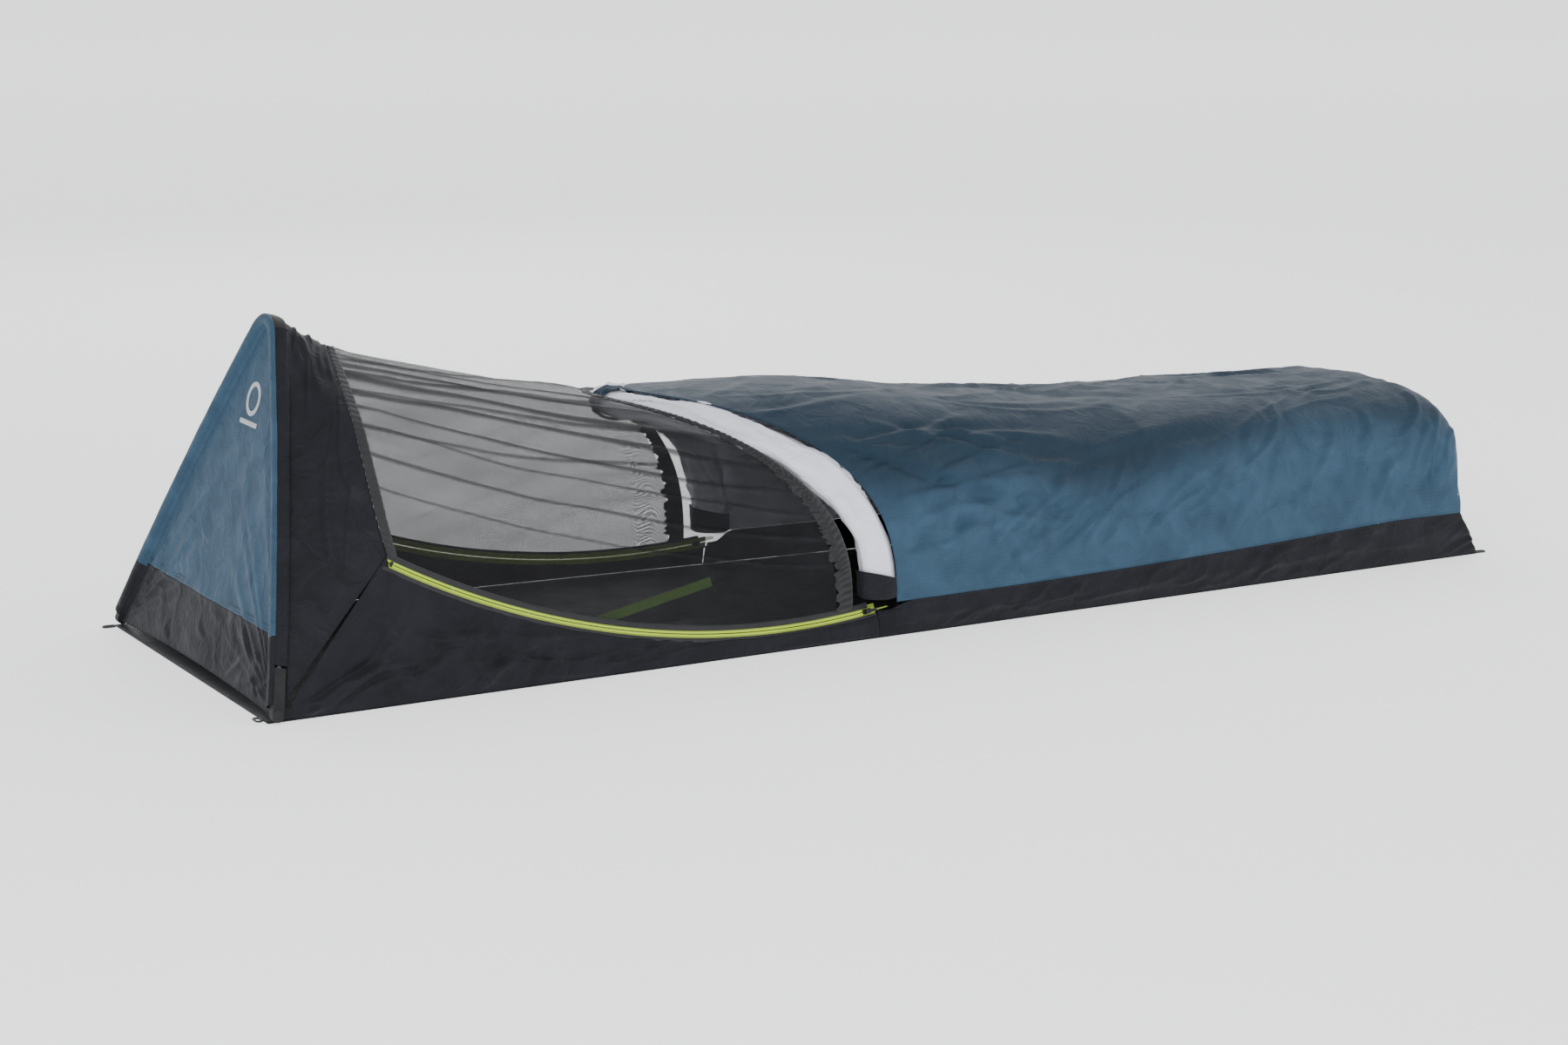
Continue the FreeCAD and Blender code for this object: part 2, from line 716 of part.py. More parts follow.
SLIDER_ANGLE = ZIP_STOP - (SLIDER_LENGTH / 2 + CLEAR) / ZIP_RADIUS


def slider_placement():
    """Slider's own frame at rest: x along the zip towards the foot, y towards the netting, z out."""
    turn = FreeCAD.Placement(on_arc(ZIP_RADIUS, SLIDER_ANGLE),
                             FreeCAD.Rotation(Z_AXIS, math.degrees(SLIDER_ANGLE)))
    return WALL.multiply(turn)


SLIDER = slider_placement()


def zip_slider():
    """Two plates round the coils, the post between them and the two ears of the pull's pin."""
    top, under = 2 * COIL_RADIUS + CLEAR, -FABRIC - CLEAR
    half, wide = SLIDER_LENGTH / 2, SLIDER_WIDTH / 2
    body = box(-half, half, -wide, wide, top, top + PLATE)
    body = body.fuse(box(-half, half, -wide, wide, under - PLATE, under))
    body = body.fuse(box(half - 3, half, -POST_WIDTH / 2, POST_WIDTH / 2, under, top))
    ear = PULL_WIDTH / 2 + CLEAR
    for y in (ear, -ear - 1):
        body = body.fuse(box(-1.6, 1.6, y, y + 1, top + PLATE / 2, PIN_HEIGHT + 1.4))
    pin = Part.makeCylinder(PIN_RADIUS, 2 * ear + 1, vec(0, -ear - 0.5, PIN_HEIGHT), Y_AXIS)
    return placed(body.fuse(pin).removeSplitter(), SLIDER)


def zip_pull():
    """Tab on the slider's pin, with a hole for its cord."""
    half = PULL_WIDTH / 2
    eye = Part.makeCylinder(PIN_RADIUS + 0.8, PULL_WIDTH, vec(0, -half, PIN_HEIGHT), Y_AXIS)
    tab = box(0, PULL_LENGTH, -half, half, PIN_HEIGHT - PLATE / 2, PIN_HEIGHT + PLATE / 2)
    pin_hole = Part.makeCylinder(PIN_RADIUS + 0.1, PULL_WIDTH + 2, vec(0, -half - 1, PIN_HEIGHT), Y_AXIS)
    cord_hole = Part.makeCylinder(PULL_CORD_RADIUS + 0.4, 4, vec(PULL_LENGTH - 2.4, 0, PIN_HEIGHT - 2), Z_AXIS)
    return placed(eye.fuse(tab).removeSplitter().cut(pin_hole).cut(cord_hole), SLIDER)


def pull_cord():
    """Bright cord loop through the end of the pull."""
    middle = PULL_LENGTH - 2.4 - PULL_CORD_RADIUS + PULL_CORD_LENGTH / 2
    made = ring(PULL_CORD_LENGTH, 2 * (PULL_CORD_BEND + PULL_CORD_RADIUS), PULL_CORD_RADIUS,
                vec(middle, 0, PIN_HEIGHT), vec(1, 0, 0), Z_AXIS)
    return placed(made, SLIDER)


def stake_loop(corner, direction):
    """Cord loop at a floor corner for a stake: it starts at the corner and points away from it."""
    along = direction.normalize()
    across = Z_AXIS.cross(along)
    centre = corner + along * (LOOP_REACH / 2) + Z_AXIS * LOOP_CORD
    return ring(LOOP_REACH, LOOP_WIDTH, LOOP_CORD, centre, along, across)


# ---- pieces that turn with the hoop
def pole_cuts():
    """Signed lengths from the crown where one section of pole ends and the next begins."""
    first = CROWN_SECTION / 2
    second = first + LEG_SECTION
    end = POLE_HALF - TIP_LENGTH
    return [-end, -second, -first, first, second, end]


def pole_section(start, stop):
    return on_hoop(hoop_pipe(start, stop, round_section(POLE_RADIUS)).cut(
        hoop_pipe(start, stop, round_section(POLE_BORE))))


def on_hoop(shape):
    return placed(shape, HOOP)


def pole_ferrules():
    made = []
    for cut in pole_cuts()[1:-1]:
        start, stop = cut - FERRULE_LENGTH / 2, cut + FERRULE_LENGTH / 2
        outer = hoop_pipe(start, stop, round_section(FERRULE_RADIUS))
        made.append(outer.cut(hoop_pipe(start, stop, round_section(POLE_RADIUS))))
    return on_hoop(Part.Compound(made))


def pole_tips():
    """Solid plugs at both ends of the pole, round where they stand in the pockets."""
    made = []
    for start, stop in ((-POLE_HALF, TIP_LENGTH - POLE_HALF), (POLE_HALF - TIP_LENGTH, POLE_HALF)):
        rod = hoop_pipe(start, stop, round_section(POLE_RADIUS))
        end = start if start < 0 else stop
        made.append(rod.fuse(Part.makeSphere(POLE_RADIUS, hoop_at(end))).removeSplitter())
    return on_hoop(Part.Compound(made))


def pole_shock_cord():
    end = POLE_HALF - TIP_LENGTH
    return on_hoop(hoop_pipe(-end, end, round_section(CORD_RADIUS)))


SLEEVE_DEPTH = 2 * (FERRULE_RADIUS + CLEAR + FABRIC)


def pole_sleeve():
    end = POLE_HALF - SLEEVE_START
    outer = hoop_pipe(-end, end, rounded_section(SLEEVE_WIDTH, SLEEVE_DEPTH))
    inner = hoop_pipe(-end, end, rounded_section(SLEEVE_WIDTH - 2 * FABRIC, SLEEVE_DEPTH - 2 * FABRIC))
    return on_hoop(outer.cut(inner))


def pole_pocket():
    """Near pocket round the pole's foot, round below so that it can roll as the hoop folds."""
    start, stop = -POLE_HALF, POCKET_LENGTH - POLE_HALF
    foot = hoop_at(start)
    body = hoop_pipe(start + POCKET_LIFT, stop, flat_section(POCKET_WIDTH, POCKET_DEPTH))
    heel = Part.makeCylinder(POCKET_WIDTH / 2, POCKET_DEPTH, foot - vec(POCKET_DEPTH / 2, 0, 0), vec(1, 0, 0))
    bore = hoop_pipe(start, stop, round_section(POLE_RADIUS + CLEAR))
    bore = bore.fuse(Part.makeSphere(POLE_RADIUS + CLEAR, foot))
    return on_hoop(body.fuse(heel).cut(bore))


def head_panel(low, high):
    """Flat panel inside the hoop, between two heights in its plane."""
    inward = SLEEVE_DEPTH / 2 + CLEAR
    end = POLE_HALF
    edges = hoop_edges(-end, end, inward)
    first, last = edges[0].Vertexes[0].Point, edges[-1].Vertexes[-1].Point
    drop = vec(0, -PANEL_DROP, 0)
    bottom = [first + drop, vec(0, first.y - PANEL_DROP + PANEL_SCALLOP, 0), last + drop]
    edges += [Part.LineSegment(last, last + drop).toShape(), Part.Arc(*reversed(bottom)).toShape(),
              Part.LineSegment(first + drop, first).toShape()]
    whole = slab(Part.Wire(Part.__sortEdges__(edges)), -FABRIC / 2, FABRIC)
    wide = HEAD_WIDTH
    return on_hoop(whole.common(box(-wide, wide, low, high, -wide, wide)))


def head_mark():
    """Plain emblem on the head panel: an open ring over a short bar."""
    low, thick = -FABRIC / 2 - FABRIC, FABRIC
    centre = vec(0, MARK_HEIGHT, low)
    circle = Part.makeCylinder(MARK_RING, thick, centre, Z_AXIS).cut(
        Part.makeCylinder(MARK_RING - MARK_STROKE, thick, centre, Z_AXIS))
    bar_top = MARK_HEIGHT - MARK_RING - MARK_STROKE
    bar = box(-MARK_BAR / 2, MARK_BAR / 2, bar_top - MARK_STROKE, bar_top, low, low + thick)
    return on_hoop(Part.Compound([circle, bar]))


def build():
    parts = {
        "floor_sheet": floor_sheet(),
        "foot_band": foot_band(),
        "shell_body": shell_body(),
        "foot_cap": foot_cap(),
        "rolled_flap": rolled_flap(),
        "flap_keeper": flap_keeper(),
        "hood_canopy": hood_canopy(),
        "canopy_binding": canopy_binding(),
        "mesh_panel": mesh_panel(),
        "mesh_hem": mesh_hem(),
        "inner_pocket": inner_pocket(),
        "pocket_trim": pocket_trim(),
        "pole_ferrules": pole_ferrules(),
        "pole_tips": pole_tips(),
        "pole_shock_cord": pole_shock_cord(),
        "pole_sleeve": pole_sleeve(),
        "head_panel_upper": head_panel(SEAM_HEIGHT, HOOP_HEIGHT),
        "head_panel_lower": head_panel(-SEAM_HEIGHT, SEAM_HEIGHT),
        "head_mark": head_mark(),
    }
    cuts = pole_cuts()
    for number, (start, stop) in enumerate(zip(cuts, cuts[1:]), 1):
        parts["pole_section_%d" % number] = pole_section(start, stop)
    paired = {
        "side_wall": side_wall(), "wall_gusset": wall_gusset(), "low_band": low_band(),
        "zip_garage": zip_garage(),
        "zip_tape_lower": zip_tape(1), "zip_tape_upper": zip_tape(-1),
        "zip_coil_lower": zip_coil(1), "zip_coil_upper": zip_coil(-1), "zip_stops": zip_stops(),
        "zip_slider": zip_slider(), "zip_pull": zip_pull(), "pull_cord": pull_cord(),
        "pole_pocket": pole_pocket(),
    }
    for name, shape in paired.items():
        parts[name + "_near"] = shape
        parts[name + "_far"] = mirrored(shape)
    head, foot = -HEAD_OVERHANG, FOOT_EDGE
    parts["stake_loop_head_near"] = stake_loop(row(head - LOOP_WIDTH / 2, 12 - HEAD_WIDTH / 2, 0), vec(0, 1, 0))
    parts["stake_loop_head_far"] = stake_loop(row(head, HEAD_WIDTH / 2 - LOOP_WIDTH / 2, 0), vec(-1, 0, 0))
    for side, name in ((-1, "near"), (1, "far")):
        corner = row(foot, side * (FOOT_WIDTH / 2 - LOOP_WIDTH / 2), 0)
        parts["stake_loop_foot_" + name] = stake_loop(corner, vec(1, 0, 0))
    return parts


def main():
    os.makedirs("parts", exist_ok=True)
    whole = FreeCAD.BoundBox()
    for name, shape in sorted(build().items()):
        if not shape.isValid() or shape.Volume <= 0:
            raise RuntimeError("%s is not a sound solid" % name)
        shape.exportStep("parts/%s.step" % name)
        whole.add(shape.BoundBox)
        print("%-24s %10.1f mm3" % (name, shape.Volume))
    print("whole", whole)


main()
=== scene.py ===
import bpy
import bmesh
import math
import numpy as np
from mathutils import Matrix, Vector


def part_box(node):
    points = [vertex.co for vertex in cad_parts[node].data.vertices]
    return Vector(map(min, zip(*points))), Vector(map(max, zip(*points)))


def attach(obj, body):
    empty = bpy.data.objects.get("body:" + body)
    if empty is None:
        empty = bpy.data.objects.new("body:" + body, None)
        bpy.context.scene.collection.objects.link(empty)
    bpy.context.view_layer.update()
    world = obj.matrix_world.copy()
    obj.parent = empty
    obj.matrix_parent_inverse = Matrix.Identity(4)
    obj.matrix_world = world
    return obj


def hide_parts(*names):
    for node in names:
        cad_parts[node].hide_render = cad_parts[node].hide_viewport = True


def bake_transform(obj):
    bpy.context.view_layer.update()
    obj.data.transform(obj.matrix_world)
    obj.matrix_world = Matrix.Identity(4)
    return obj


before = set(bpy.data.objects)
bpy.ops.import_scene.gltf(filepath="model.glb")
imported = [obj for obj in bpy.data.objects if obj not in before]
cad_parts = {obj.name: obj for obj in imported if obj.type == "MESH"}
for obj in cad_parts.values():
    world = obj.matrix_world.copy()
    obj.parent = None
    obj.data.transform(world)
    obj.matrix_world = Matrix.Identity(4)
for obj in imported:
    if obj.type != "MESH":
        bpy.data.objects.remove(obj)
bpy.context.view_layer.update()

bl_info = {
    "name": "Hooped bivy sack",
    "version": (1, 0, 0),
    "blender": (4, 5, 0),
    "location": "View3D > Sidebar > Bivy",
    "description": "Cloth, netting, zips, stitching and stage of a hooped bivy sack",
    "category": "Object",
}

# ---- sizes of the sack's frame, in metres; a station is a distance from the hoop's feet
FLOOR_LOW, FLOOR_HIGH = (np.array(corner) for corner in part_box("floor_sheet"))
HEAD_HALF = float(FLOOR_HIGH[1])
FLOOR_THICK = float(FLOOR_HIGH[2])
OVERHANG = 0.012
HOOP_X = float(FLOOR_LOW[0]) + OVERHANG
FOOT_EDGE = float(FLOOR_HIGH[0]) - HOOP_X
FOOT_HALF = 0.240
FABRIC = 0.0015
CLOTH = 0.0008
CLEAR = 0.0003
SEAM_LAP = 0.0010
WALL_TAPER = (HEAD_HALF - FOOT_HALF) / FOOT_EDGE
WALL_LEAN = 0.27
WALL_HEAD, WALL_HEAD_TOP = 0.024, 0.020
ZIP_FOOT, ZIP_HEAD, ZIP_RADIUS = (0.955, 0.041), (0.1985, 0.1885), 1.229
TAPE_REACH, TAPE_TAIL = 0.009, 0.012
COIL_RADIUS, COIL_GAP = 0.0013, 0.002
HOOP_LEAN = math.radians(15.2)
HOOP_HEIGHT, HOOP_OUTSET = 0.508, 0.003
CROWN_RADIUS, CROWN_TURN = 0.044, math.radians(54.0)
AXIS_Z = 0.0108
SLEEVE_WIDTH, SLEEVE_DEPTH, SLEEVE_START = 0.026, 0.0151, 0.070
SEAM_HEIGHT, PANEL_DROP, PANEL_SCALLOP = 0.098, 0.0042, 0.008
MARK_HEIGHT, MARK_REACH = 0.387, 0.036
ARCH = ((0.0, 0.215, 0.0, 0.458), (0.42, 0.190, 0.152, 0.378), (0.62, 0.186, 0.208, 0.311),
        (0.82, 0.186, 0.250, 0.246))
BINDING, HEM, DRAPE_POWER, NET_RISE, NET_BACK = 0.010, 0.016, 2.2, 0.013, 0.026
ROLL_RIDGE, ROLL_SWEEP, ROLL_ROUND = 0.675, 0.300, 0.12
ROLL_WIDTH, ROLL_THICK, ROLL_PROUD, ROLL_END = 0.060, 0.043, 0.002, 0.98
SHELL_START, BODY_END = 0.0215, 1.960
FOOT_BULGE, FOOT_TUCK, SIDE_BULGE = 0.168, 0.22, 1.02
SHOULDER_POWER, FOOT_POWER, FOOT_ROUND = 2.4, 3.7, 4.5
RIDGE = ((0.0, 0.356), (0.22, 0.348), (0.44, 0.316), (0.67, 0.292), (0.93, 0.280), (1.0, 0.279))
BAND_TOP = ((0.45, 0.053), (0.60, 0.055), (0.75, 0.062), (0.92, 0.076), (1.0, 0.084))
POCKET_DEPTH = 0.008
POCKET = ((0.530, 0.064), (0.510, 0.078), (0.700, 0.112), (0.868, 0.146), (0.925, 0.104), (0.770, 0.062))
GARAGE = (0.971, 1.036, 0.014, 0.040)
CAMERA_PLACE, CAMERA_AROUND, CAMERA_ABOVE = (-2.706, -4.831, 1.259), 28.344, 11.679
UP = np.array([0.0, 0.0, 1.0])
MIRROR = np.array([1.0, -1.0, 1.0])


# ---- settings a user would change
class BivySettings(bpy.types.PropertyGroup):
    """Sizes and colours of the cloth, netting, thread and stage."""
    fold_height: bpy.props.FloatProperty(
        name="Fold height", description="How strong the folds in cloth are", default=1.0, min=0.0, max=2.0)
    weave_pitch: bpy.props.FloatProperty(
        name="Weave pitch", description="Distance between threads of the cloth", default=0.0007, min=0.0002,
        subtype="DISTANCE", unit="LENGTH")
    ripstop_pitch: bpy.props.FloatProperty(
        name="Ripstop pitch", description="Distance between the thicker threads", default=0.006, min=0.001,
        subtype="DISTANCE", unit="LENGTH")
    net_pitch: bpy.props.FloatProperty(
        name="Net pitch", description="Distance between threads of the netting", default=0.0014, min=0.0005,
        subtype="DISTANCE", unit="LENGTH")
    stitch_pitch: bpy.props.FloatProperty(
        name="Stitch pitch", description="Distance from stitch to stitch", default=0.0036, min=0.001,
        subtype="DISTANCE", unit="LENGTH")
    stitch_width: bpy.props.FloatProperty(
        name="Thread width", description="Width of the sewing thread", default=0.0006, min=0.0001,
        subtype="DISTANCE", unit="LENGTH")
    tooth_pitch: bpy.props.FloatProperty(
        name="Tooth pitch", description="Distance between teeth of the zip", default=0.0023, min=0.001,
        subtype="DISTANCE", unit="LENGTH")
    shell_colour: bpy.props.FloatVectorProperty(
        name="Shell", description="Colour of the shell cloth", subtype="COLOR", size=3, min=0, max=1,
        default=(0.040, 0.084, 0.134))
    dark_colour: bpy.props.FloatVectorProperty(
        name="Dark cloth", description="Colour of the walls, canopy and floor", subtype="COLOR", size=3,
        min=0, max=1, default=(0.0140, 0.0148, 0.0190))
    lining_colour: bpy.props.FloatVectorProperty(
        name="Lining", description="Colour of the shell's inner side", subtype="COLOR", size=3, min=0, max=1,
        default=(0.84, 0.84, 0.92))
    bright_colour: bpy.props.FloatVectorProperty(
        name="Bright trim", description="Colour of the zips and pocket edge", subtype="COLOR", size=3, min=0,
        max=1, default=(0.56, 0.74, 0.055))
    light_power: bpy.props.FloatProperty(
        name="Light", description="Power of the studio's front light", default=95.0, min=0.0, unit="POWER")
    lens: bpy.props.FloatProperty(
        name="Lens", description="Focal length of the camera", default=82.67, min=10.0, unit="CAMERA")


def settings():
    return bpy.context.scene.bivy_settings


# ---- numbers on whole arrays
def ease(t):
    """3t^2 - 2t^3 with t held between 0 and 1."""
    t = np.clip(t, 0.0, 1.0)
    return t * t * (3 - 2 * t)


def curve(points, x, column=1):
    """Smooth curve through rows of numbers, read at x: on each span a cubic that meets both ends with the
    slope between their neighbours."""
    table = np.array(points, float)
    xs, ys = table[:, 0], table[:, column]
    last = len(xs) - 1
    high, low = np.minimum(np.arange(last + 1) + 1, last), np.maximum(np.arange(last + 1) - 1, 0)
    slope = (ys[high] - ys[low]) / (xs[high] - xs[low])
    x = np.clip(x, xs[0], xs[-1])
    i = np.clip(np.searchsorted(xs, x, side="right") - 1, 0, last - 1)
    h = xs[i + 1] - xs[i]
    t = (x - xs[i]) / h
    return (ys[i] * (2 * t**3 - 3 * t**2 + 1) + slope[i] * h * (t**3 - 2 * t**2 + t)
            + ys[i + 1] * (3 * t**2 - 2 * t**3) + slope[i + 1] * h * (t**3 - t**2))


def point(x, y, z):
    return np.stack(np.broadcast_arrays(np.asarray(x, float), y, z), -1)


def unit(v):
    return v / np.maximum(np.linalg.norm(v, axis=-1, keepdims=True), 1e-12)


def blended(a, b, t):
    return a + (b - a) * t


def noise(x, y, seed):
    """Soft noise of about -1 to 1: seeded numbers at whole x and y, blended by 6t^5 - 15t^4 + 10t^3."""
    lattice = np.random.default_rng(seed).uniform(-1, 1, (64, 64))
    i, j = np.floor(x).astype(int), np.floor(y).astype(int)
    u, v = x - i, y - j
    u, v = (w**3 * (w * (w * 6 - 15) + 10) for w in (u, v))
    a, b = lattice[i % 64, j % 64], lattice[(i + 1) % 64, j % 64]
    c, d = lattice[i % 64, (j + 1) % 64], lattice[(i + 1) % 64, (j + 1) % 64]
    return (a * (1 - u) + b * u) * (1 - v) + (c * (1 - u) + d * u) * v


def creases(x, y, seed, scale, angle=0.0, stretch=3.0):
    """Sharp crossing creases: 1 minus the size of noise that is stretched along an angle, squared."""
    c, s = math.cos(angle), math.sin(angle)
    u, v = (x * c + y * s) * scale / stretch, (-x * s + y * c) * scale
    bent = v + 0.6 * noise(u * 1.7 + 9, v * 0.5, seed + 5)
    return (1 - np.abs(noise(u, bent, seed))) ** 3


def folds(x, y, table):
    """Sum of single folds. A row is the middle x and y, angle, half length, width, height and bend. Across a
    fold the height is exp(-(v/w)^2) with a shallow trough behind it; along it, exp(-(u/l)^4)."""
    total = np.zeros_like(x)
    for cx, cy, angle, length, width, height, bend in table:
        c, s = math.cos(angle), math.sin(angle)
        u, v = (x - cx) * c + (y - cy) * s, -(x - cx) * s + (y - cy) * c
        v = v - bend * u * u / length
        swell = width * (0.6 + 0.7 * (u / length + 1) ** 2 / 4)
        across = np.exp(-(v / swell) ** 2) - 0.5 * np.exp(-((v - 1.7 * swell) / (1.4 * swell)) ** 2)
        total += height * across * np.exp(-(u / length) ** 4)
    return total


def fold_rows(seed, count, box, angle, length, width, height):
    """Seeded rows for folds() whose middles lie in a box and whose other numbers lie in the given spans."""
    draw = np.random.default_rng(seed).uniform
    x0, x1, y0, y1 = box
    return np.stack([draw(x0, x1, count), draw(y0, y1, count), np.radians(draw(*angle, count)),
                     draw(*length, count), draw(*width, count), draw(*height, count),
                     draw(-0.35, 0.35, count)], 1)


# ---- frame of the near wall: x along it to the foot, y up it, z out of it
WALL_ALONG = unit(np.array([1.0, WALL_TAPER, 0.0]))
WALL_OUT = unit(np.array([WALL_TAPER, -1.0, WALL_LEAN]))
WALL_UP = np.cross(WALL_OUT, WALL_ALONG)
WALL_START = np.array([HOOP_X, -HEAD_HALF, 0.0])


def from_wall(x, y, out=0.0):
    """Row point of wall coordinates."""
    x, y, out = np.broadcast_arrays(np.asarray(x, float), y, out)
    return WALL_START + x[..., None] * WALL_ALONG + y[..., None] * WALL_UP + out[..., None] * WALL_OUT


def wall_half(station, z):
    return HEAD_HALF - WALL_TAPER * station - WALL_LEAN * z


def on_wall(station, z):
    """Wall coordinates of the wall's point at a station and height."""
    p = point(station + HOOP_X, -wall_half(station, z), z) - WALL_START
    return np.array([p @ WALL_ALONG, p @ WALL_UP])


def zip_arc():
    """Centre of the zip's arc in wall coordinates and its two end angles from straight down: the arc of the
    given radius through both ends."""
    foot, head = on_wall(*ZIP_FOOT), on_wall(*ZIP_HEAD)
    chord = foot - head
    half = np.linalg.norm(chord) / 2
    side = np.array([-chord[1], chord[0]]) / (2 * half)
    centre = (foot + head) / 2 + side * math.sqrt(ZIP_RADIUS**2 - half**2)
    angles = [math.atan2(p[0] - centre[0], centre[1] - p[1]) for p in (head, foot)]
    return centre, angles[0], angles[1]


ZIP_CENTRE, ZIP_BEGIN, ZIP_STOP = zip_arc()
TAIL = TAPE_TAIL / ZIP_RADIUS


def on_arc(radius, angle, out=0.0):
    """Row point at a radius and angle of the zip's arc."""
    angle = np.asarray(angle, float)
    return from_wall(ZIP_CENTRE[0] + radius * np.sin(angle), ZIP_CENTRE[1] - radius * np.cos(angle), out)


# ---- frame of the hoop: x across to the far side, y up the leaning plane, z to the foot end
HOOP_UP = np.array([math.sin(HOOP_LEAN), 0.0, math.cos(HOOP_LEAN)])
HOOP_OUT = np.array([math.cos(HOOP_LEAN), 0.0, -math.sin(HOOP_LEAN)])
HOOP_START = np.array([HOOP_X, 0.0, AXIS_Z])


def from_hoop(x, y, out=0.0):
    """Row point of hoop coordinates."""
    x, y, out = np.broadcast_arrays(np.asarray(x, float), y, out)
    return (HOOP_START + x[..., None] * np.array([0.0, 1.0, 0.0]) + y[..., None] * HOOP_UP
            + out[..., None] * HOOP_OUT)


def leg_arc():
    """Radius, centre and end angle of a leg's arc: it leaves the crown's arc smoothly and meets the foot."""
    crown = HOOP_HEIGHT - CROWN_RADIUS
    inward = np.array([math.sin(CROWN_TURN), math.cos(CROWN_TURN)])
    joint = CROWN_RADIUS * inward + np.array([0.0, crown])
    step = np.array([HEAD_HALF + HOOP_OUTSET, 0.0]) - joint
    radius = -(step @ step) / (2 * (step @ inward))
    centre = joint - inward * radius
    return radius, centre, math.acos(-centre[1] / radius)


LEG_RADIUS, LEG_CENTRE, LEG_TURN = leg_arc()
CROWN_LENGTH = CROWN_RADIUS * CROWN_TURN
POLE_HALF = CROWN_LENGTH + LEG_RADIUS * (LEG_TURN - CROWN_TURN)


def hoop_line(length, inward=0.0):
    """Hoop coordinates of the pole's middle line at signed lengths from the crown, and outward directions."""
    length = np.asarray(length, float)
    side, reach = np.where(length < 0, -1.0, 1.0), np.abs(length)
    crown = reach <= CROWN_LENGTH
    turn = np.where(crown, reach / CROWN_RADIUS, CROWN_TURN + (reach - CROWN_LENGTH) / LEG_RADIUS)
    radius = np.where(crown, CROWN_RADIUS, LEG_RADIUS) - inward
    cx, cy = np.where(crown, 0.0, LEG_CENTRE[0]), np.where(crown, HOOP_HEIGHT - CROWN_RADIUS, LEG_CENTRE[1])
    place = np.stack([side * (cx + radius * np.sin(turn)), cy + radius * np.cos(turn)], -1)
    return place, np.stack([side * np.sin(turn), np.cos(turn)], -1)


def hoop_length_at(height):
    """Length from the crown down to where the leg passes a height of the hoop's plane."""
    return CROWN_LENGTH + LEG_RADIUS * (np.arccos((height - LEG_CENTRE[1]) / LEG_RADIUS) - CROWN_TURN)


# ---- form of the shell, the roll, the netting and the bands
def half_width(station):
    return HEAD_HALF - WALL_TAPER * station


def band_top(station):
    return curve(BAND_TOP, station / FOOT_EDGE)


def form(station, share):
    """Point of the shell: a superellipse between the bands, whose power grows towards the foot."""
    at = (station - ROLL_RIDGE) / (BODY_END - ROLL_RIDGE)
    power = 2 / blended(SHOULDER_POWER, FOOT_POWER, ease(at))
    angle = share * math.pi / 2
    side = np.sign(share) * np.abs(np.sin(angle)) ** power
    low, high = band_top(station), curve(RIDGE, at)
    width = SIDE_BULGE * half_width(station)
    return point(station + HOOP_X, width * side, low + (high - low) * np.maximum(0.0, np.cos(angle)) ** power)


def foot_form(share, turn):
    """Rounded foot: the last section carried along a superellipse quarter down to the band."""
    first = form(np.full_like(share, BODY_END), share)
    low = band_top(BODY_END)
    power = 2 / FOOT_ROUND
    bend, drop = np.sin(turn * math.pi / 2) ** power, np.maximum(0, np.cos(turn * math.pi / 2)) ** power
    side = np.abs(first[..., 1]) / (SIDE_BULGE * half_width(BODY_END))
    reach = FOOT_BULGE * bend * (1 - FOOT_TUCK * side**6)
    return point(BODY_END + HOOP_X + reach, first[..., 1], low + (first[..., 2] - low) * drop)


def roll_station(share):
    across = np.hypot(np.sin(share * math.pi / 2), ROLL_ROUND) - ROLL_ROUND
    return ROLL_RIDGE + ROLL_SWEEP * across / (math.hypot(1, ROLL_ROUND) - ROLL_ROUND)


def roll_frame(share):
    """Middle of the roll and its cross directions: towards the foot, and out of the form."""
    step = 0.004
    base = form(roll_station(share), share)
    path = form(roll_station(share + step), share + step) - form(roll_station(share - step), share - step)
    along = form(roll_station(share) + 0.002, share) - form(roll_station(share) - 0.002, share)
    normal = unit(np.cross(along, path))
    towards = unit(np.cross(path, normal))
    return base - normal * (ROLL_THICK / 2 - ROLL_PROUD), towards, normal


def hood_edge(share):
    """Rear edge of the sleeve."""
    low = hoop_length_at(WALL_HEAD_TOP / math.cos(HOOP_LEAN))
    place = hoop_line(share * low)[0]
    return from_hoop(place[..., 0], place[..., 1], SLEEVE_WIDTH / 2 - SEAM_LAP)


def far_or_near(p, share):
    """The near point with its y put on the side of share."""
    return np.stack([p[..., 0], np.where(share < 0, -1.0, 1.0) * np.abs(p[..., 1]), p[..., 2]], -1)


def arch(share):
    """Rear edge of the canopy, from the near zip over the ridge to the far one."""
    end = on_arc(ZIP_RADIUS - TAPE_REACH, ZIP_BEGIN - TAIL)
    points = ARCH + ((1.0, end[0] - HOOP_X, abs(end[1]), end[2]),)
    at = np.abs(share)
    side = np.where(share < 0, -1.0, 1.0)
    return point(curve(points, at, 1) + HOOP_X, side * curve(points, at, 2), curve(points, at, 3))


def net_edge(share):
    """Front of the roll, where the netting ends."""
    centre, towards, normal = roll_frame(share * ROLL_END)
    return centre - towards * (ROLL_WIDTH / 2 + 0.002) + normal * (NET_RISE * (1 - share**2))[..., None]


def net(length, share):
    """Netting from the arch to the roll, its two sides brought onto the zips."""
    length, share = np.broadcast_arrays(np.asarray(length, float), share)
    t = length[..., None]
    flat = blended(arch(share), net_edge(share), t)
    angle = blended(ZIP_BEGIN - TAIL, ZIP_STOP - NET_BACK / ZIP_RADIUS, length)
    zip_point = far_or_near(on_arc(ZIP_RADIUS - TAPE_REACH, angle), share)
    side = np.where(share < 0, -1.0, 1.0)
    chord = blended(arch(side), net_edge(side), t)
    return flat + (zip_point - chord) * (np.abs(share) ** DRAPE_POWER)[..., None]


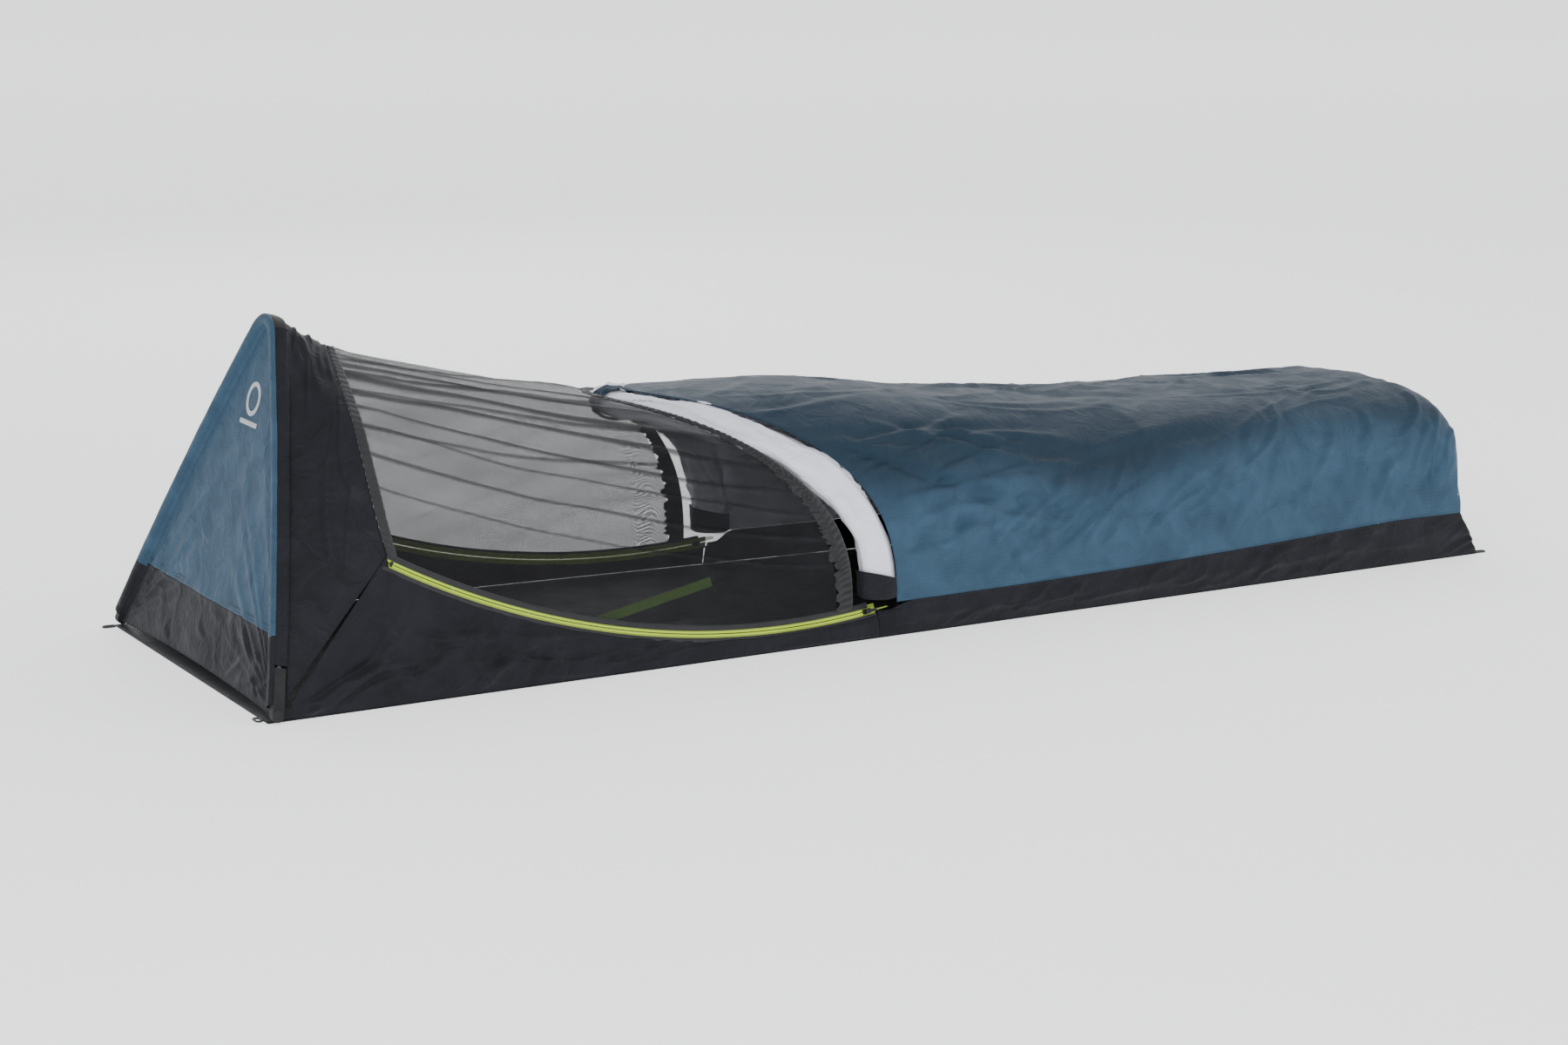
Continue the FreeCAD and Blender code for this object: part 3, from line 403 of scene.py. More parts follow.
NET_LENGTH = float(np.linalg.norm(net_edge(np.zeros(1)) - arch(np.zeros(1))))
WALL_REAR = float(on_arc(ZIP_RADIUS + TAPE_REACH, ZIP_STOP + TAIL)[0]) - HOOP_X


def band_point(length, height):
    """Near band from the flat wall to the foot corner: straight from the floor's edge to the shell's edge."""
    corner = BODY_END + FOOT_BULGE * (1 - FOOT_TUCK)
    bottom, top = blended(WALL_REAR, FOOT_EDGE, length), blended(WALL_REAR, corner, length)
    grown = ease((top - WALL_REAR) / 0.060)
    wall_top = on_arc(ZIP_RADIUS + TAPE_REACH, ZIP_STOP + TAIL)[2]
    inner = np.minimum(top, BODY_END)
    high = blended(wall_top, band_top(inner), grown)
    width = blended(wall_half(top, high), SIDE_BULGE * half_width(inner), grown)
    low = point(bottom + HOOP_X, -half_width(bottom), FLOOR_THICK + FABRIC * 0.25)
    return blended(low, point(top + HOOP_X, -width, high), np.asarray(height)[..., None])


# ---- meshes
def cell_normals(grid):
    """Unit normals of a grid of points: the cross product of its two steps."""
    return unit(np.cross(np.gradient(grid, axis=0), np.gradient(grid, axis=1)))


def lengths(grid, axis):
    """Distance run along an axis of the grid from its first line."""
    step = np.linalg.norm(np.diff(grid, axis=axis), axis=-1)
    start = np.zeros_like(np.take(step, [0], axis))
    return np.concatenate([start, np.cumsum(step, axis)], axis)


def grid_faces(rows, columns, round_rows=False, round_columns=False):
    """Four corners of each cell of a grid, as indices."""
    index = np.arange(rows * columns).reshape(rows, columns)
    if round_rows:
        index = np.concatenate([index, index[:1]], 0)
    if round_columns:
        index = np.concatenate([index, index[:, :1]], 1)
    cells = [index[:-1, :-1], index[1:, :-1], index[1:, 1:], index[:-1, 1:]]
    return np.stack([c.ravel() for c in cells], 1)


def mesh_piece(name, points, faces, materials, coords=None):
    """Object from arrays of points and four-cornered faces; coords is a pair of distances per point."""
    mesh = bpy.data.meshes.new(name)
    mesh.vertices.add(len(points))
    mesh.vertices.foreach_set("co", np.asarray(points, np.float32).ravel())
    mesh.loops.add(faces.size)
    mesh.loops.foreach_set("vertex_index", faces.astype(np.int32).ravel())
    mesh.polygons.add(len(faces))
    mesh.polygons.foreach_set("loop_start", np.arange(0, faces.size, faces.shape[1], dtype=np.int32))
    mesh.update(calc_edges=True)
    if coords is not None:
        layer = mesh.uv_layers.new(name="UVMap")
        layer.data.foreach_set("uv", np.asarray(coords, np.float32)[faces.ravel()].ravel())
    mesh.shade_smooth()
    for made in materials:
        mesh.materials.append(made)
    piece = bpy.data.objects.new(name, mesh)
    bpy.context.scene.collection.objects.link(piece)
    return piece


def grid_piece(name, grid, materials, flip=False, round_rows=False, round_columns=False):
    """Object from a grid of points, with the distances along it as its UV map."""
    if flip:
        grid = grid[:, ::-1]
    rows, columns = grid.shape[:2]
    coords = np.stack([lengths(grid, 0), lengths(grid, 1)], -1)
    return mesh_piece(name, grid.reshape(-1, 3), grid_faces(rows, columns, round_rows, round_columns),
                      materials, coords.reshape(-1, 2))


def lifted(grid, height, sign=1.0):
    """Grid moved along its own normals by a height field."""
    return grid + cell_normals(grid) * (sign * height)[..., None]


def thicken(piece, thickness, inner=0, rim=0, offset=-1.0):
    made = piece.modifiers.new("Cloth thickness", "SOLIDIFY")
    made.thickness = thickness
    made.offset = offset
    made.material_offset = inner
    made.material_offset_rim = rim
    return piece


def weld(piece, distance=1e-5):
    """Closes the poles and seams of a mesh: merges points that lie together."""
    made = bmesh.new()
    made.from_mesh(piece.data)
    bmesh.ops.remove_doubles(made, verts=made.verts, dist=distance)
    bmesh.ops.dissolve_degenerate(made, edges=made.edges, dist=1e-7)
    made.to_mesh(piece.data)
    made.free()
    return piece


def joined(parts):
    """Points and faces of several meshes as one."""
    offsets = np.cumsum([0] + [len(p) for p, f in parts[:-1]])
    return np.concatenate([p for p, f in parts]), np.concatenate([f + o for (p, f), o in zip(parts, offsets)])


def swept(path, side, up, wide, high, sides=8, closed=False):
    """Tube of oval section along a path: path + side*wide*cos(a) + up*high*sin(a), with closed end caps."""
    angle = np.arange(sides) * 2 * math.pi / sides
    shape = wide * np.cos(angle)[None, :, None]
    lift = high * np.sin(angle)[None, :, None]
    grid = path[:, None, :] + side[:, None, :] * shape + up[:, None, :] * lift
    if not closed:
        ends = [np.broadcast_to(p, (1, sides, 3)) for p in (path[0], path[-1])]
        grid = np.concatenate([ends[0], grid, ends[1]], 0)
    return grid.reshape(-1, 3), grid_faces(grid.shape[0], sides, closed, True)


def stitch_line(path, normal, pitch, width):
    """Row of stitches along a path: each is a low arc of thread, 0.7 of the pitch long, that starts and ends
    under the cloth. Points are found by distance along the path."""
    run = np.concatenate([[0.0], np.cumsum(np.linalg.norm(np.diff(path, axis=0), axis=1))])
    count = int(run[-1] / pitch)
    t = np.linspace(-0.5, 0.5, 4)
    at = (np.arange(count)[:, None] + 0.5 + 0.7 * t[None, :]) * pitch
    place = np.stack([np.interp(at, run, path[:, k]) for k in range(3)], -1)
    out = unit(np.stack([np.interp(at, run, normal[:, k]) for k in range(3)], -1))
    along = unit(np.gradient(place, axis=1))
    across = np.cross(along, out)
    place = place + out * ((1 - (2 * t) ** 2) * width * 0.9 - width * 0.2)[None, :, None]
    angle = np.arange(5) * 2 * math.pi / 5
    ring = place[:, :, None] + (across[:, :, None] * np.cos(angle)[None, None, :, None]
                                + out[:, :, None] * np.sin(angle)[None, None, :, None]) * width / 2
    one = grid_faces(4, 5, False, True)
    faces = (one[None] + (np.arange(count) * 20)[:, None, None]).reshape(-1, 4)
    return ring.reshape(-1, 3), faces


def replaced(piece, body, slot, *nodes):
    """Hangs a finished piece on its body and hides the nodes that it stands for; its slot is not used."""
    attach(piece, body)
    if nodes:
        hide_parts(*nodes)
    return piece


def both_sides(points):
    """Near and far copies of a grid, the far one mirrored."""
    return (("near", points, False), ("far", points * MIRROR, True))


# ---- shader groups
def feed(tree, made, inputs):
    """Links each input of a node whose value is a socket and sets the others."""
    for key, value in inputs.items():
        if isinstance(value, bpy.types.NodeSocket):
            tree.links.new(value, made.inputs[key])
        else:
            made.inputs[key].default_value = value
    return made


def node(tree, kind, inputs=None, **values):
    """Adds a node with the given values and inputs."""
    made = tree.nodes.new(kind)
    for key, value in values.items():
        setattr(made, key, value)
    return feed(tree, made, inputs or {})


def calc(tree, operation, a, b=None):
    inputs = {0: a} if b is None else {0: a, 1: b}
    return node(tree, "ShaderNodeMath", inputs, operation=operation).outputs[0]


def new_group(name, inputs, outputs):
    """Empty shader group with named sockets."""
    tree = bpy.data.node_groups.new(name, "ShaderNodeTree")
    for label, kind, value in inputs:
        socket = tree.interface.new_socket(name=label, in_out="INPUT", socket_type=kind)
        if value is not None:
            socket.default_value = value
    for label, kind in outputs:
        tree.interface.new_socket(name=label, in_out="OUTPUT", socket_type=kind)
    return tree, tree.nodes.new("NodeGroupInput").outputs, tree.nodes.new("NodeGroupOutput").inputs


def waves(tree, value, pitch):
    """Sine of a distance over a pitch."""
    turns = calc(tree, "DIVIDE", value, pitch)
    return calc(tree, "SINE", calc(tree, "MULTIPLY", turns, 2 * math.pi))


def weave_group():
    """Plain weave: product of two sines. Ripstop: a line where either distance is near a whole pitch."""
    tree, given, out = new_group(
        "Woven cloth", [("Vector", "NodeSocketVector", None), ("Pitch", "NodeSocketFloat", 0.0007),
                        ("Grid Pitch", "NodeSocketFloat", 0.006)],
        [("Height", "NodeSocketFloat"), ("Grid", "NodeSocketFloat")])
    axes = node(tree, "ShaderNodeSeparateXYZ", {0: given["Vector"]}).outputs
    warp, weft = (waves(tree, axis, given["Pitch"]) for axis in (axes[0], axes[1]))
    product = calc(tree, "MULTIPLY", warp, weft)
    lines = []
    for axis in (axes[0], axes[1]):
        turn = calc(tree, "FRACT", calc(tree, "DIVIDE", axis, given["Grid Pitch"]))
        lines.append(calc(tree, "LESS_THAN", turn, 0.09))
    grid = calc(tree, "MAXIMUM", lines[0], lines[1])
    threads, raised = calc(tree, "MULTIPLY", product, 0.35), calc(tree, "MULTIPLY", grid, 0.6)
    tree.links.new(calc(tree, "ADD", threads, raised), out["Height"])
    tree.links.new(grid, out["Grid"])
    return tree


def crinkle_group():
    """Fine crinkles of light cloth: ridged noise over broad noise."""
    tree, given, out = new_group(
        "Cloth crinkle", [("Vector", "NodeSocketVector", None), ("Scale", "NodeSocketFloat", 30.0),
                          ("Sharpness", "NodeSocketFloat", 0.5)],
        [("Height", "NodeSocketFloat"), ("Shade", "NodeSocketFloat")])
    broad = node(tree, "ShaderNodeTexNoise", {"Vector": given["Vector"], "Scale": given["Scale"],
                                              "Detail": 3.0, "Distortion": 0.6}).outputs["Fac"]
    ridged = node(tree, "ShaderNodeTexNoise",
                  {"Vector": given["Vector"], "Scale": given["Scale"], "Detail": 2.0, "Distortion": 1.2})
    fine = calc(tree, "ABSOLUTE", calc(tree, "SUBTRACT", ridged.outputs["Fac"], 0.5))
    sharp = calc(tree, "POWER", calc(tree, "SUBTRACT", 1.0, calc(tree, "MULTIPLY", fine, 2.0)), 5.0)
    total = calc(tree, "ADD", broad, calc(tree, "MULTIPLY", sharp, given["Sharpness"]))
    tree.links.new(total, out["Height"])
    tree.links.new(broad, out["Shade"])
    return tree


def dust_group():
    """Settled dust: where a normal points up, broken up by noise."""
    tree, given, out = new_group(
        "Settled dust", [("Vector", "NodeSocketVector", None), ("Normal", "NodeSocketVector", None),
                         ("Amount", "NodeSocketFloat", 0.1)], [("Mask", "NodeSocketFloat")])
    up = node(tree, "ShaderNodeSeparateXYZ", {0: given["Normal"]}).outputs[2]
    patches = node(tree, "ShaderNodeTexNoise", {"Vector": given["Vector"], "Scale": 14.0,
                                                "Detail": 6.0}).outputs["Fac"]
    mask = calc(tree, "MULTIPLY", calc(tree, "MAXIMUM", up, 0.0), patches)
    tree.links.new(calc(tree, "MULTIPLY", mask, given["Amount"]), out["Mask"])
    return tree


def thread_net_group():
    """Netting: 1 on a thread, where either distance is within a width of a whole pitch, and 0 in a hole."""
    tree, given, out = new_group(
        "Thread net", [("Vector", "NodeSocketVector", None), ("Pitch", "NodeSocketFloat", 0.0014),
                       ("Thread", "NodeSocketFloat", 0.2)], [("Mask", "NodeSocketFloat")])
    axes = node(tree, "ShaderNodeSeparateXYZ", {0: given["Vector"]}).outputs
    skew = [calc(tree, "ADD", axes[0], axes[1]), calc(tree, "SUBTRACT", axes[0], axes[1])]
    lines = [calc(tree, "LESS_THAN", calc(tree, "FRACT", calc(tree, "DIVIDE", a, given["Pitch"])),
                  given["Thread"]) for a in skew]
    tree.links.new(calc(tree, "MAXIMUM", lines[0], lines[1]), out["Mask"])
    return tree


def rib_group():
    """Ribs of webbing or braid: waves along one distance and a weaker one across it."""
    tree, given, out = new_group(
        "Ribbed tape", [("Vector", "NodeSocketVector", None), ("Pitch", "NodeSocketFloat", 0.0012)],
        [("Height", "NodeSocketFloat")])
    axes = node(tree, "ShaderNodeSeparateXYZ", {0: given["Vector"]}).outputs
    skew = calc(tree, "ADD", axes[0], calc(tree, "ADD", axes[1], axes[2]))
    other = calc(tree, "SUBTRACT", axes[2], calc(tree, "ADD", axes[0], axes[1]))
    ribs = calc(tree, "MULTIPLY", waves(tree, skew, given["Pitch"]), 0.5)
    tree.links.new(calc(tree, "ADD", ribs, calc(tree, "MULTIPLY", waves(tree, other, given["Pitch"]), 0.4)),
                   out["Height"])
    return tree


GROUP_MAKERS = {"Woven cloth": weave_group, "Cloth crinkle": crinkle_group, "Settled dust": dust_group,
                "Thread net": thread_net_group, "Ribbed tape": rib_group}


def use_group(tree, name, inputs):
    group = bpy.data.node_groups.get(name) or GROUP_MAKERS[name]()
    return node(tree, "ShaderNodeGroup", inputs, node_tree=group).outputs


# ---- finishes
def start_material(name):
    made = bpy.data.materials.new(name)
    made.use_nodes = True
    tree = made.node_tree
    tree.nodes.clear()
    shader = tree.nodes.new("ShaderNodeBsdfPrincipled")
    end = tree.nodes.new("ShaderNodeOutputMaterial")
    tree.links.new(shader.outputs[0], end.inputs[0])
    return made, tree, shader


def tint(tree, factor, a, b):
    """Colour a where the factor is 0 and b where it is 1."""
    a, b = (c if isinstance(c, bpy.types.NodeSocket) else (*tuple(c)[:3], 1.0) for c in (a, b))
    return node(tree, "ShaderNodeMix", {0: factor, 6: a, 7: b}, data_type="RGBA", blend_type="MIX").outputs[2]


def shaded(colour, amount):
    return tuple(c * amount for c in tuple(colour)[:3])


def remap(tree, value, low, high, to_low, to_high):
    return node(tree, "ShaderNodeMapRange", {0: value, 1: low, 2: high, 3: to_low, 4: to_high}).outputs[0]


def cloth(name, colour, roughness=0.55, sheen=0.10, crinkle=28.0, crinkle_depth=0.0012, weave_depth=0.00012,
          dust=0.02, worn=0.72, on_uv=True, top=1.0):
    """Woven, coated cloth: weave and ripstop lines, crinkles, faded and dusty patches. Where the painted
    shade attribute is 1 its colour is multiplied by top, which darkens the upper side as painted shade."""
    made, tree, shader = start_material(name)
    where = tree.nodes.new("ShaderNodeTexCoord").outputs
    flat = where["UV"] if on_uv else where["Object"]
    weave = use_group(tree, "Woven cloth", {"Vector": flat, "Pitch": settings().weave_pitch,
                                            "Grid Pitch": settings().ripstop_pitch})
    wrinkle = use_group(tree, "Cloth crinkle",
                        {"Vector": where["Object"], "Scale": crinkle, "Sharpness": 0.35})
    fade = remap(tree, wrinkle["Shade"], 0.3, 0.7, 0.0, 1.0)
    base = tint(tree, fade, shaded(colour, worn), colour)
    base = tint(tree, calc(tree, "MULTIPLY", weave["Grid"], 0.25), base, shaded(colour, 1.35))
    # painted shade: the shell's upper side is darkened where the front light leaves it dim
    if top < 1.0:
        upper = node(tree, "ShaderNodeAttribute", attribute_name="top_painted_shade").outputs["Fac"]
        base = tint(tree, upper, base, shaded(colour, top))
    surface = tree.nodes.new("ShaderNodeNewGeometry").outputs["Normal"]
    grey = use_group(tree, "Settled dust", {"Vector": where["Object"], "Normal": surface, "Amount": dust})
    tree.links.new(tint(tree, grey["Mask"], base, (0.42, 0.41, 0.40)), shader.inputs["Base Color"])
    tree.links.new(remap(tree, wrinkle["Shade"], 0.3, 0.7, roughness + 0.07, roughness - 0.07),
                   shader.inputs["Roughness"])
    low = node(tree, "ShaderNodeBump",
               {"Height": wrinkle["Height"], "Strength": 0.7, "Distance": crinkle_depth})
    fine = node(tree, "ShaderNodeBump", {"Height": weave["Height"], "Strength": 0.6, "Distance": weave_depth,
                                         "Normal": low.outputs[0]})
    tree.links.new(fine.outputs[0], shader.inputs["Normal"])
    shader.inputs["Sheen Weight"].default_value = sheen
    shader.inputs["Sheen Roughness"].default_value = 0.45
    shader.inputs["Specular IOR Level"].default_value = 0.10
    return made


def netting(name, colour, thread, dense=0.9):
    """Netting: clear in its holes. The fold attribute thickens it where cloth lies double."""
    made, tree, shader = start_material(name)
    where = tree.nodes.new("ShaderNodeTexCoord").outputs
    mask = use_group(tree, "Thread net", {"Vector": where["UV"], "Pitch": settings().net_pitch,
                                          "Thread": thread})["Mask"]
    fold = node(tree, "ShaderNodeAttribute", attribute_name="fold_cover").outputs["Fac"]
    cover = calc(tree, "MAXIMUM", mask, calc(tree, "MULTIPLY", fold, dense))
    tree.links.new(cover, shader.inputs["Alpha"])
    cloud = node(tree, "ShaderNodeTexNoise", {"Vector": where["Object"], "Scale": 18.0}).outputs["Fac"]
    tree.links.new(tint(tree, cloud, shaded(colour, 0.7), shaded(colour, 1.3)), shader.inputs["Base Color"])
    tree.links.new(remap(tree, cloud, 0.3, 0.7, 0.75, 0.6), shader.inputs["Roughness"])
    bump = node(tree, "ShaderNodeBump", {"Height": mask, "Strength": 0.4, "Distance": 0.0002})
    tree.links.new(bump.outputs[0], shader.inputs["Normal"])
    shader.inputs["Specular IOR Level"].default_value = 0.3
    made.surface_render_method = "DITHERED"
    return made


def ribbed(name, colour, pitch, roughness=0.65, sheen=0.15, depth=0.00025, on_uv=False):
    """Tape, webbing, braid or thread with visible ribs."""
    made, tree, shader = start_material(name)
    where = tree.nodes.new("ShaderNodeTexCoord").outputs
    flat = where["UV"] if on_uv else where["Object"]
    ribs = use_group(tree, "Ribbed tape", {"Vector": flat, "Pitch": pitch})["Height"]
    cloud = node(tree, "ShaderNodeTexNoise",
                 {"Vector": where["Object"], "Scale": 60.0, "Detail": 4.0}).outputs["Fac"]
    base = tint(tree, cloud, shaded(colour, 0.7), shaded(colour, 1.15))
    # painted shade: the colour darkens to half in the troughs between the ribs
    base = tint(tree, remap(tree, ribs, -0.8, 0.8, 0.0, 0.5), shaded(colour, 0.5), base)
    tree.links.new(base, shader.inputs["Base Color"])
    rough = remap(tree, cloud, 0.3, 0.7, roughness + 0.08, roughness - 0.08)
    tree.links.new(rough, shader.inputs["Roughness"])
    bump = node(tree, "ShaderNodeBump", {"Height": ribs, "Strength": 0.8, "Distance": depth})
    tree.links.new(bump.outputs[0], shader.inputs["Normal"])
    shader.inputs["Sheen Weight"].default_value = sheen
    return made


def hard(name, colour, roughness, metallic, worn_colour, scratch=220.0, coat=0.0):
    """Metal, glass fibre or moulded nylon with fine scratches and worn spots."""
    made, tree, shader = start_material(name)
    where = tree.nodes.new("ShaderNodeTexCoord").outputs
    turned = node(tree, "ShaderNodeMapping", {"Vector": where["Object"], "Scale": (1.0, 1.0, 6.0)}).outputs[0]
    marks = node(tree, "ShaderNodeTexNoise",
                 {"Vector": turned, "Scale": scratch, "Detail": 6.0}).outputs["Fac"]
    worn = remap(tree, marks, 0.58, 0.72, 0.0, 1.0)
    tree.links.new(tint(tree, worn, colour, worn_colour), shader.inputs["Base Color"])
    rough = remap(tree, marks, 0.3, 0.7, roughness - 0.08, roughness + 0.14)
    tree.links.new(rough, shader.inputs["Roughness"])
    bump = node(tree, "ShaderNodeBump", {"Height": marks, "Strength": 0.25, "Distance": 0.0001})
    tree.links.new(bump.outputs[0], shader.inputs["Normal"])
    shader.inputs["Metallic"].default_value = metallic
    shader.inputs["Coat Weight"].default_value = coat
    return made


FINISHES = {
    # top=0.40 darkens the shell's upper side as painted shade
    "shell cloth": lambda: cloth("shell cloth", settings().shell_colour, 0.52, 0.02, 22.0, 0.0030, top=0.40),
    "strap cloth": lambda: cloth("strap cloth", shaded(settings().shell_colour, 0.45), 0.55, 0.10, 60.0,
                                 0.0012),
    "crown cloth": lambda: cloth("crown cloth", (0.020, 0.017, 0.016), 0.55, 0.10, 50.0, 0.0010),
    "lining": lambda: cloth("lining", settings().lining_colour, 0.62, 0.06, 30.0, 0.0030, dust=0.01,
                            worn=0.93),
    "dark cloth": lambda: cloth("dark cloth", settings().dark_colour, 0.52, 0.03, 26.0, 0.0028),
    "floor cloth": lambda: cloth("floor cloth", shaded(settings().dark_colour, 0.85), 0.48, 0.05, 16.0,
                                 0.0016),
    "netting": lambda: netting("netting", (0.004, 0.004, 0.006), 0.38),
    "pocket netting": lambda: netting("pocket netting", (0.006, 0.006, 0.008), 0.34),
    "binding": lambda: ribbed("binding", (0.012, 0.012, 0.015), 0.0011, on_uv=True),
    "webbing": lambda: ribbed("webbing", (0.006, 0.006, 0.007), 0.0016, 0.7, 0.05, 0.0004),
    "zip tape": lambda: ribbed("zip tape", settings().bright_colour, 0.0010, 0.6, 0.1, 0.0002),
    "zip teeth": lambda: hard("zip teeth", shaded(settings().bright_colour, 1.15), 0.32, 0.0,
                              shaded(settings().bright_colour, 0.8), 400.0, 0.2),
    "pocket edge": lambda: ribbed("pocket edge", (0.22, 0.42, 0.045), 0.0012, 0.6, 0.1, 0.0002),
    "dark thread": lambda: ribbed("dark thread", (0.020, 0.020, 0.024), 0.0006, 0.6, 0.1, 0.0001),
    "slider enamel": lambda: hard("slider enamel", (0.018, 0.018, 0.02), 0.34, 0.6, (0.16, 0.16, 0.17), 500.0,
                                  0.3),
    "glass fibre": lambda: hard("glass fibre", (0.03, 0.03, 0.033), 0.30, 0.0, (0.06, 0.06, 0.065), 300.0,
                                0.4),
    "ferrule metal": lambda: hard("ferrule metal", (0.62, 0.62, 0.64), 0.30, 1.0, (0.44, 0.44, 0.45), 400.0),
    "elastic braid": lambda: ribbed("elastic braid", (0.55, 0.55, 0.52), 0.0009, 0.6),
    "loop braid": lambda: ribbed("loop braid", (0.014, 0.014, 0.016), 0.0010, 0.6, 0.2, 0.0003),
    "print": lambda: ribbed("print", (0.78, 0.80, 0.84), 0.0008, 0.55, 0.05, 0.00008),
}
MADE = {}


def finish(name):
    """The finish of that name, made on first use."""
    if name not in MADE:
        MADE[name] = FINISHES[name]()
    return MADE[name]


def dress(name, *nodes):
    """Gives CAD nodes a finish."""
    for key in nodes:
        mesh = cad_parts[key].data
        mesh.materials.clear()
        mesh.materials.append(finish(name))


# ---- hood pieces: shares of turn with the hoop, and baked transforms
FOLD_TOP = math.pi / 2 - HOOP_LEAN


def fold_share(points, edge):
    """How far a point of the hood turns with the hoop: its angle over the floor as a share of the hoop's,
    full up to the crown's reach and none at the roll, and falling to none at the cloth's fixed edge."""
    x, z = points[..., 0] - HOOP_X, points[..., 2] - AXIS_Z
    angle, reach = np.arctan2(z, x), np.hypot(x, z)
    turned = np.clip(angle / FOLD_TOP, 0.0, 1.0) * (1 - ease((reach - 0.53) / 0.14))
    return turned * ease(edge)


def hang_hood(piece, share, slot, *nodes):
    """Bakes a hood piece's transform into its points and hides the nodes that it stands for; its share and
    slot are not used.
    """
    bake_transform(piece)
    if nodes:
        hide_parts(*nodes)
    return piece


def floats(piece, name, values):
    layer = piece.data.attributes.new(name, "FLOAT", "POINT")
    layer.data.foreach_set("value", values.ravel().astype(np.float32))


# ---- operators, one for each piece or group of like pieces
class BIVY_OT_floor(bpy.types.Operator):
    """Floor: a flat sheet between the two end edges, slack by a little noise away from its seams"""
    bl_idname = "bivy.floor"
    bl_label = "Floor"

    def execute(self, context):
        v, u = np.meshgrid(np.linspace(0, 1, 241), np.linspace(-1, 1, 73), indexing="ij")
        x = blended(FLOOR_LOW[0], FLOOR_HIGH[0], v)
        half = blended(HEAD_HALF, FOOT_HALF, np.clip((x - HOOP_X) / FOOT_EDGE, 0, 1))
        grid = point(x, u * half, FLOOR_THICK)
        edge = ease((1 - np.abs(u)) * half / 0.04) * ease(np.minimum(v, 1 - v) * 2.15 / 0.05)
        slack = 0.0011 * creases(x, u * half, 3, 9.0, 0.4) + 0.0006 * noise(x * 16, u * half * 16, 4)
        grid[..., 2] += np.maximum(0.0, slack * edge) * settings().fold_height - 0.0003 * edge
        piece = thicken(grid_piece("floor_cloth", grid, [finish("floor cloth")]), 0.0019)
        replaced(piece, "sack", "floor_fabric", "floor_sheet")
        return {"FINISHED"}


def wall_grid():
    """Flat wall: its top edge runs up the hood's seam and down the zip's arc, its foot along the floor."""
    outer, inner = ZIP_RADIUS + TAPE_REACH, ZIP_RADIUS - TAPE_REACH
    base = FLOOR_THICK + FABRIC * WALL_LEAN
    front, rear = on_wall(WALL_HEAD, base), on_wall(WALL_REAR, base)
    corner = on_wall(WALL_HEAD, WALL_HEAD_TOP)
    angle = np.linspace(ZIP_BEGIN - TAIL, ZIP_STOP + TAIL, 181)
    arc = np.stack([ZIP_CENTRE[0] + outer * np.sin(angle), ZIP_CENTRE[1] - outer * np.cos(angle)], -1)
    peak = np.array([ZIP_CENTRE[0] + inner * math.sin(angle[0]), ZIP_CENTRE[1] - inner * math.cos(angle[0])])
    seam = blended(corner, peak, np.linspace(0, 1, 45)[:, None]) + np.array([0.0, SEAM_LAP])
    top = np.concatenate([seam, arc], 0)
    run = (top[:, :1] - top[0, 0]) / (top[-1, 0] - top[0, 0])
    bottom = blended(front, rear, run)
    t = np.linspace(0, 1, 61)[None, :, None]
    flat = blended(bottom[:, None], top[:, None], t)
    return flat, np.broadcast_to(t[..., 0], flat.shape[:2])


class BIVY_OT_walls(bpy.types.Operator):
    """Side walls: flat leaning panels with folds that fan out of the hoop's foot and sag under the zip"""
    bl_idname = "bivy.walls"
    bl_label = "Side walls"

    def execute(self, context):
        flat, t = wall_grid()
        x, y = flat[..., 0], flat[..., 1]
        fan = fold_rows(11, 9, (0.10, 0.30, 0.015, 0.05), (14, 34), (0.06, 0.14), (0.005, 0.009),
                        (0.0028, 0.0046))
        sag = fold_rows(12, 15, (0.28, 0.62, 0.02, 0.085), (-25, 40), (0.03, 0.09), (0.005, 0.011),
                        (0.0024, 0.0052))
        low = fold_rows(13, 14, (0.45, 0.95, 0.008, 0.035), (-6, 12), (0.04, 0.11), (0.004, 0.008),
                        (0.001, 0.0022))
        height = folds(x, y, np.concatenate([fan, sag, low])) + 0.0016 * creases(x, y, 14, 14.0, 0.5)
        height += 0.0022 * noise(x * 7, y * 7, 15) + 0.0006 * creases(x, y, 16, 45.0, 1.2)
        edge = ease((1 - t) * 12) * ease(t * 9) * ease((x - x.min()) / 0.03)
        grid = from_wall(x, y, (height + 0.0004) * edge * settings().fold_height)
        for side, points, flip in both_sides(grid):
            piece = thicken(grid_piece("wall_cloth_" + side, points, [finish("dark cloth")], not flip), CLOTH)
            turned = ease(1 - 3 * (x - WALL_HEAD) / 0.162) * ease((grid[..., 2] - 0.004) / 0.016)
            turned = turned if flip else turned[:, ::-1]
            hang_hood(piece, turned, "dark_fabric", "side_wall_" + side, "wall_gusset_" + side)
        return {"FINISHED"}


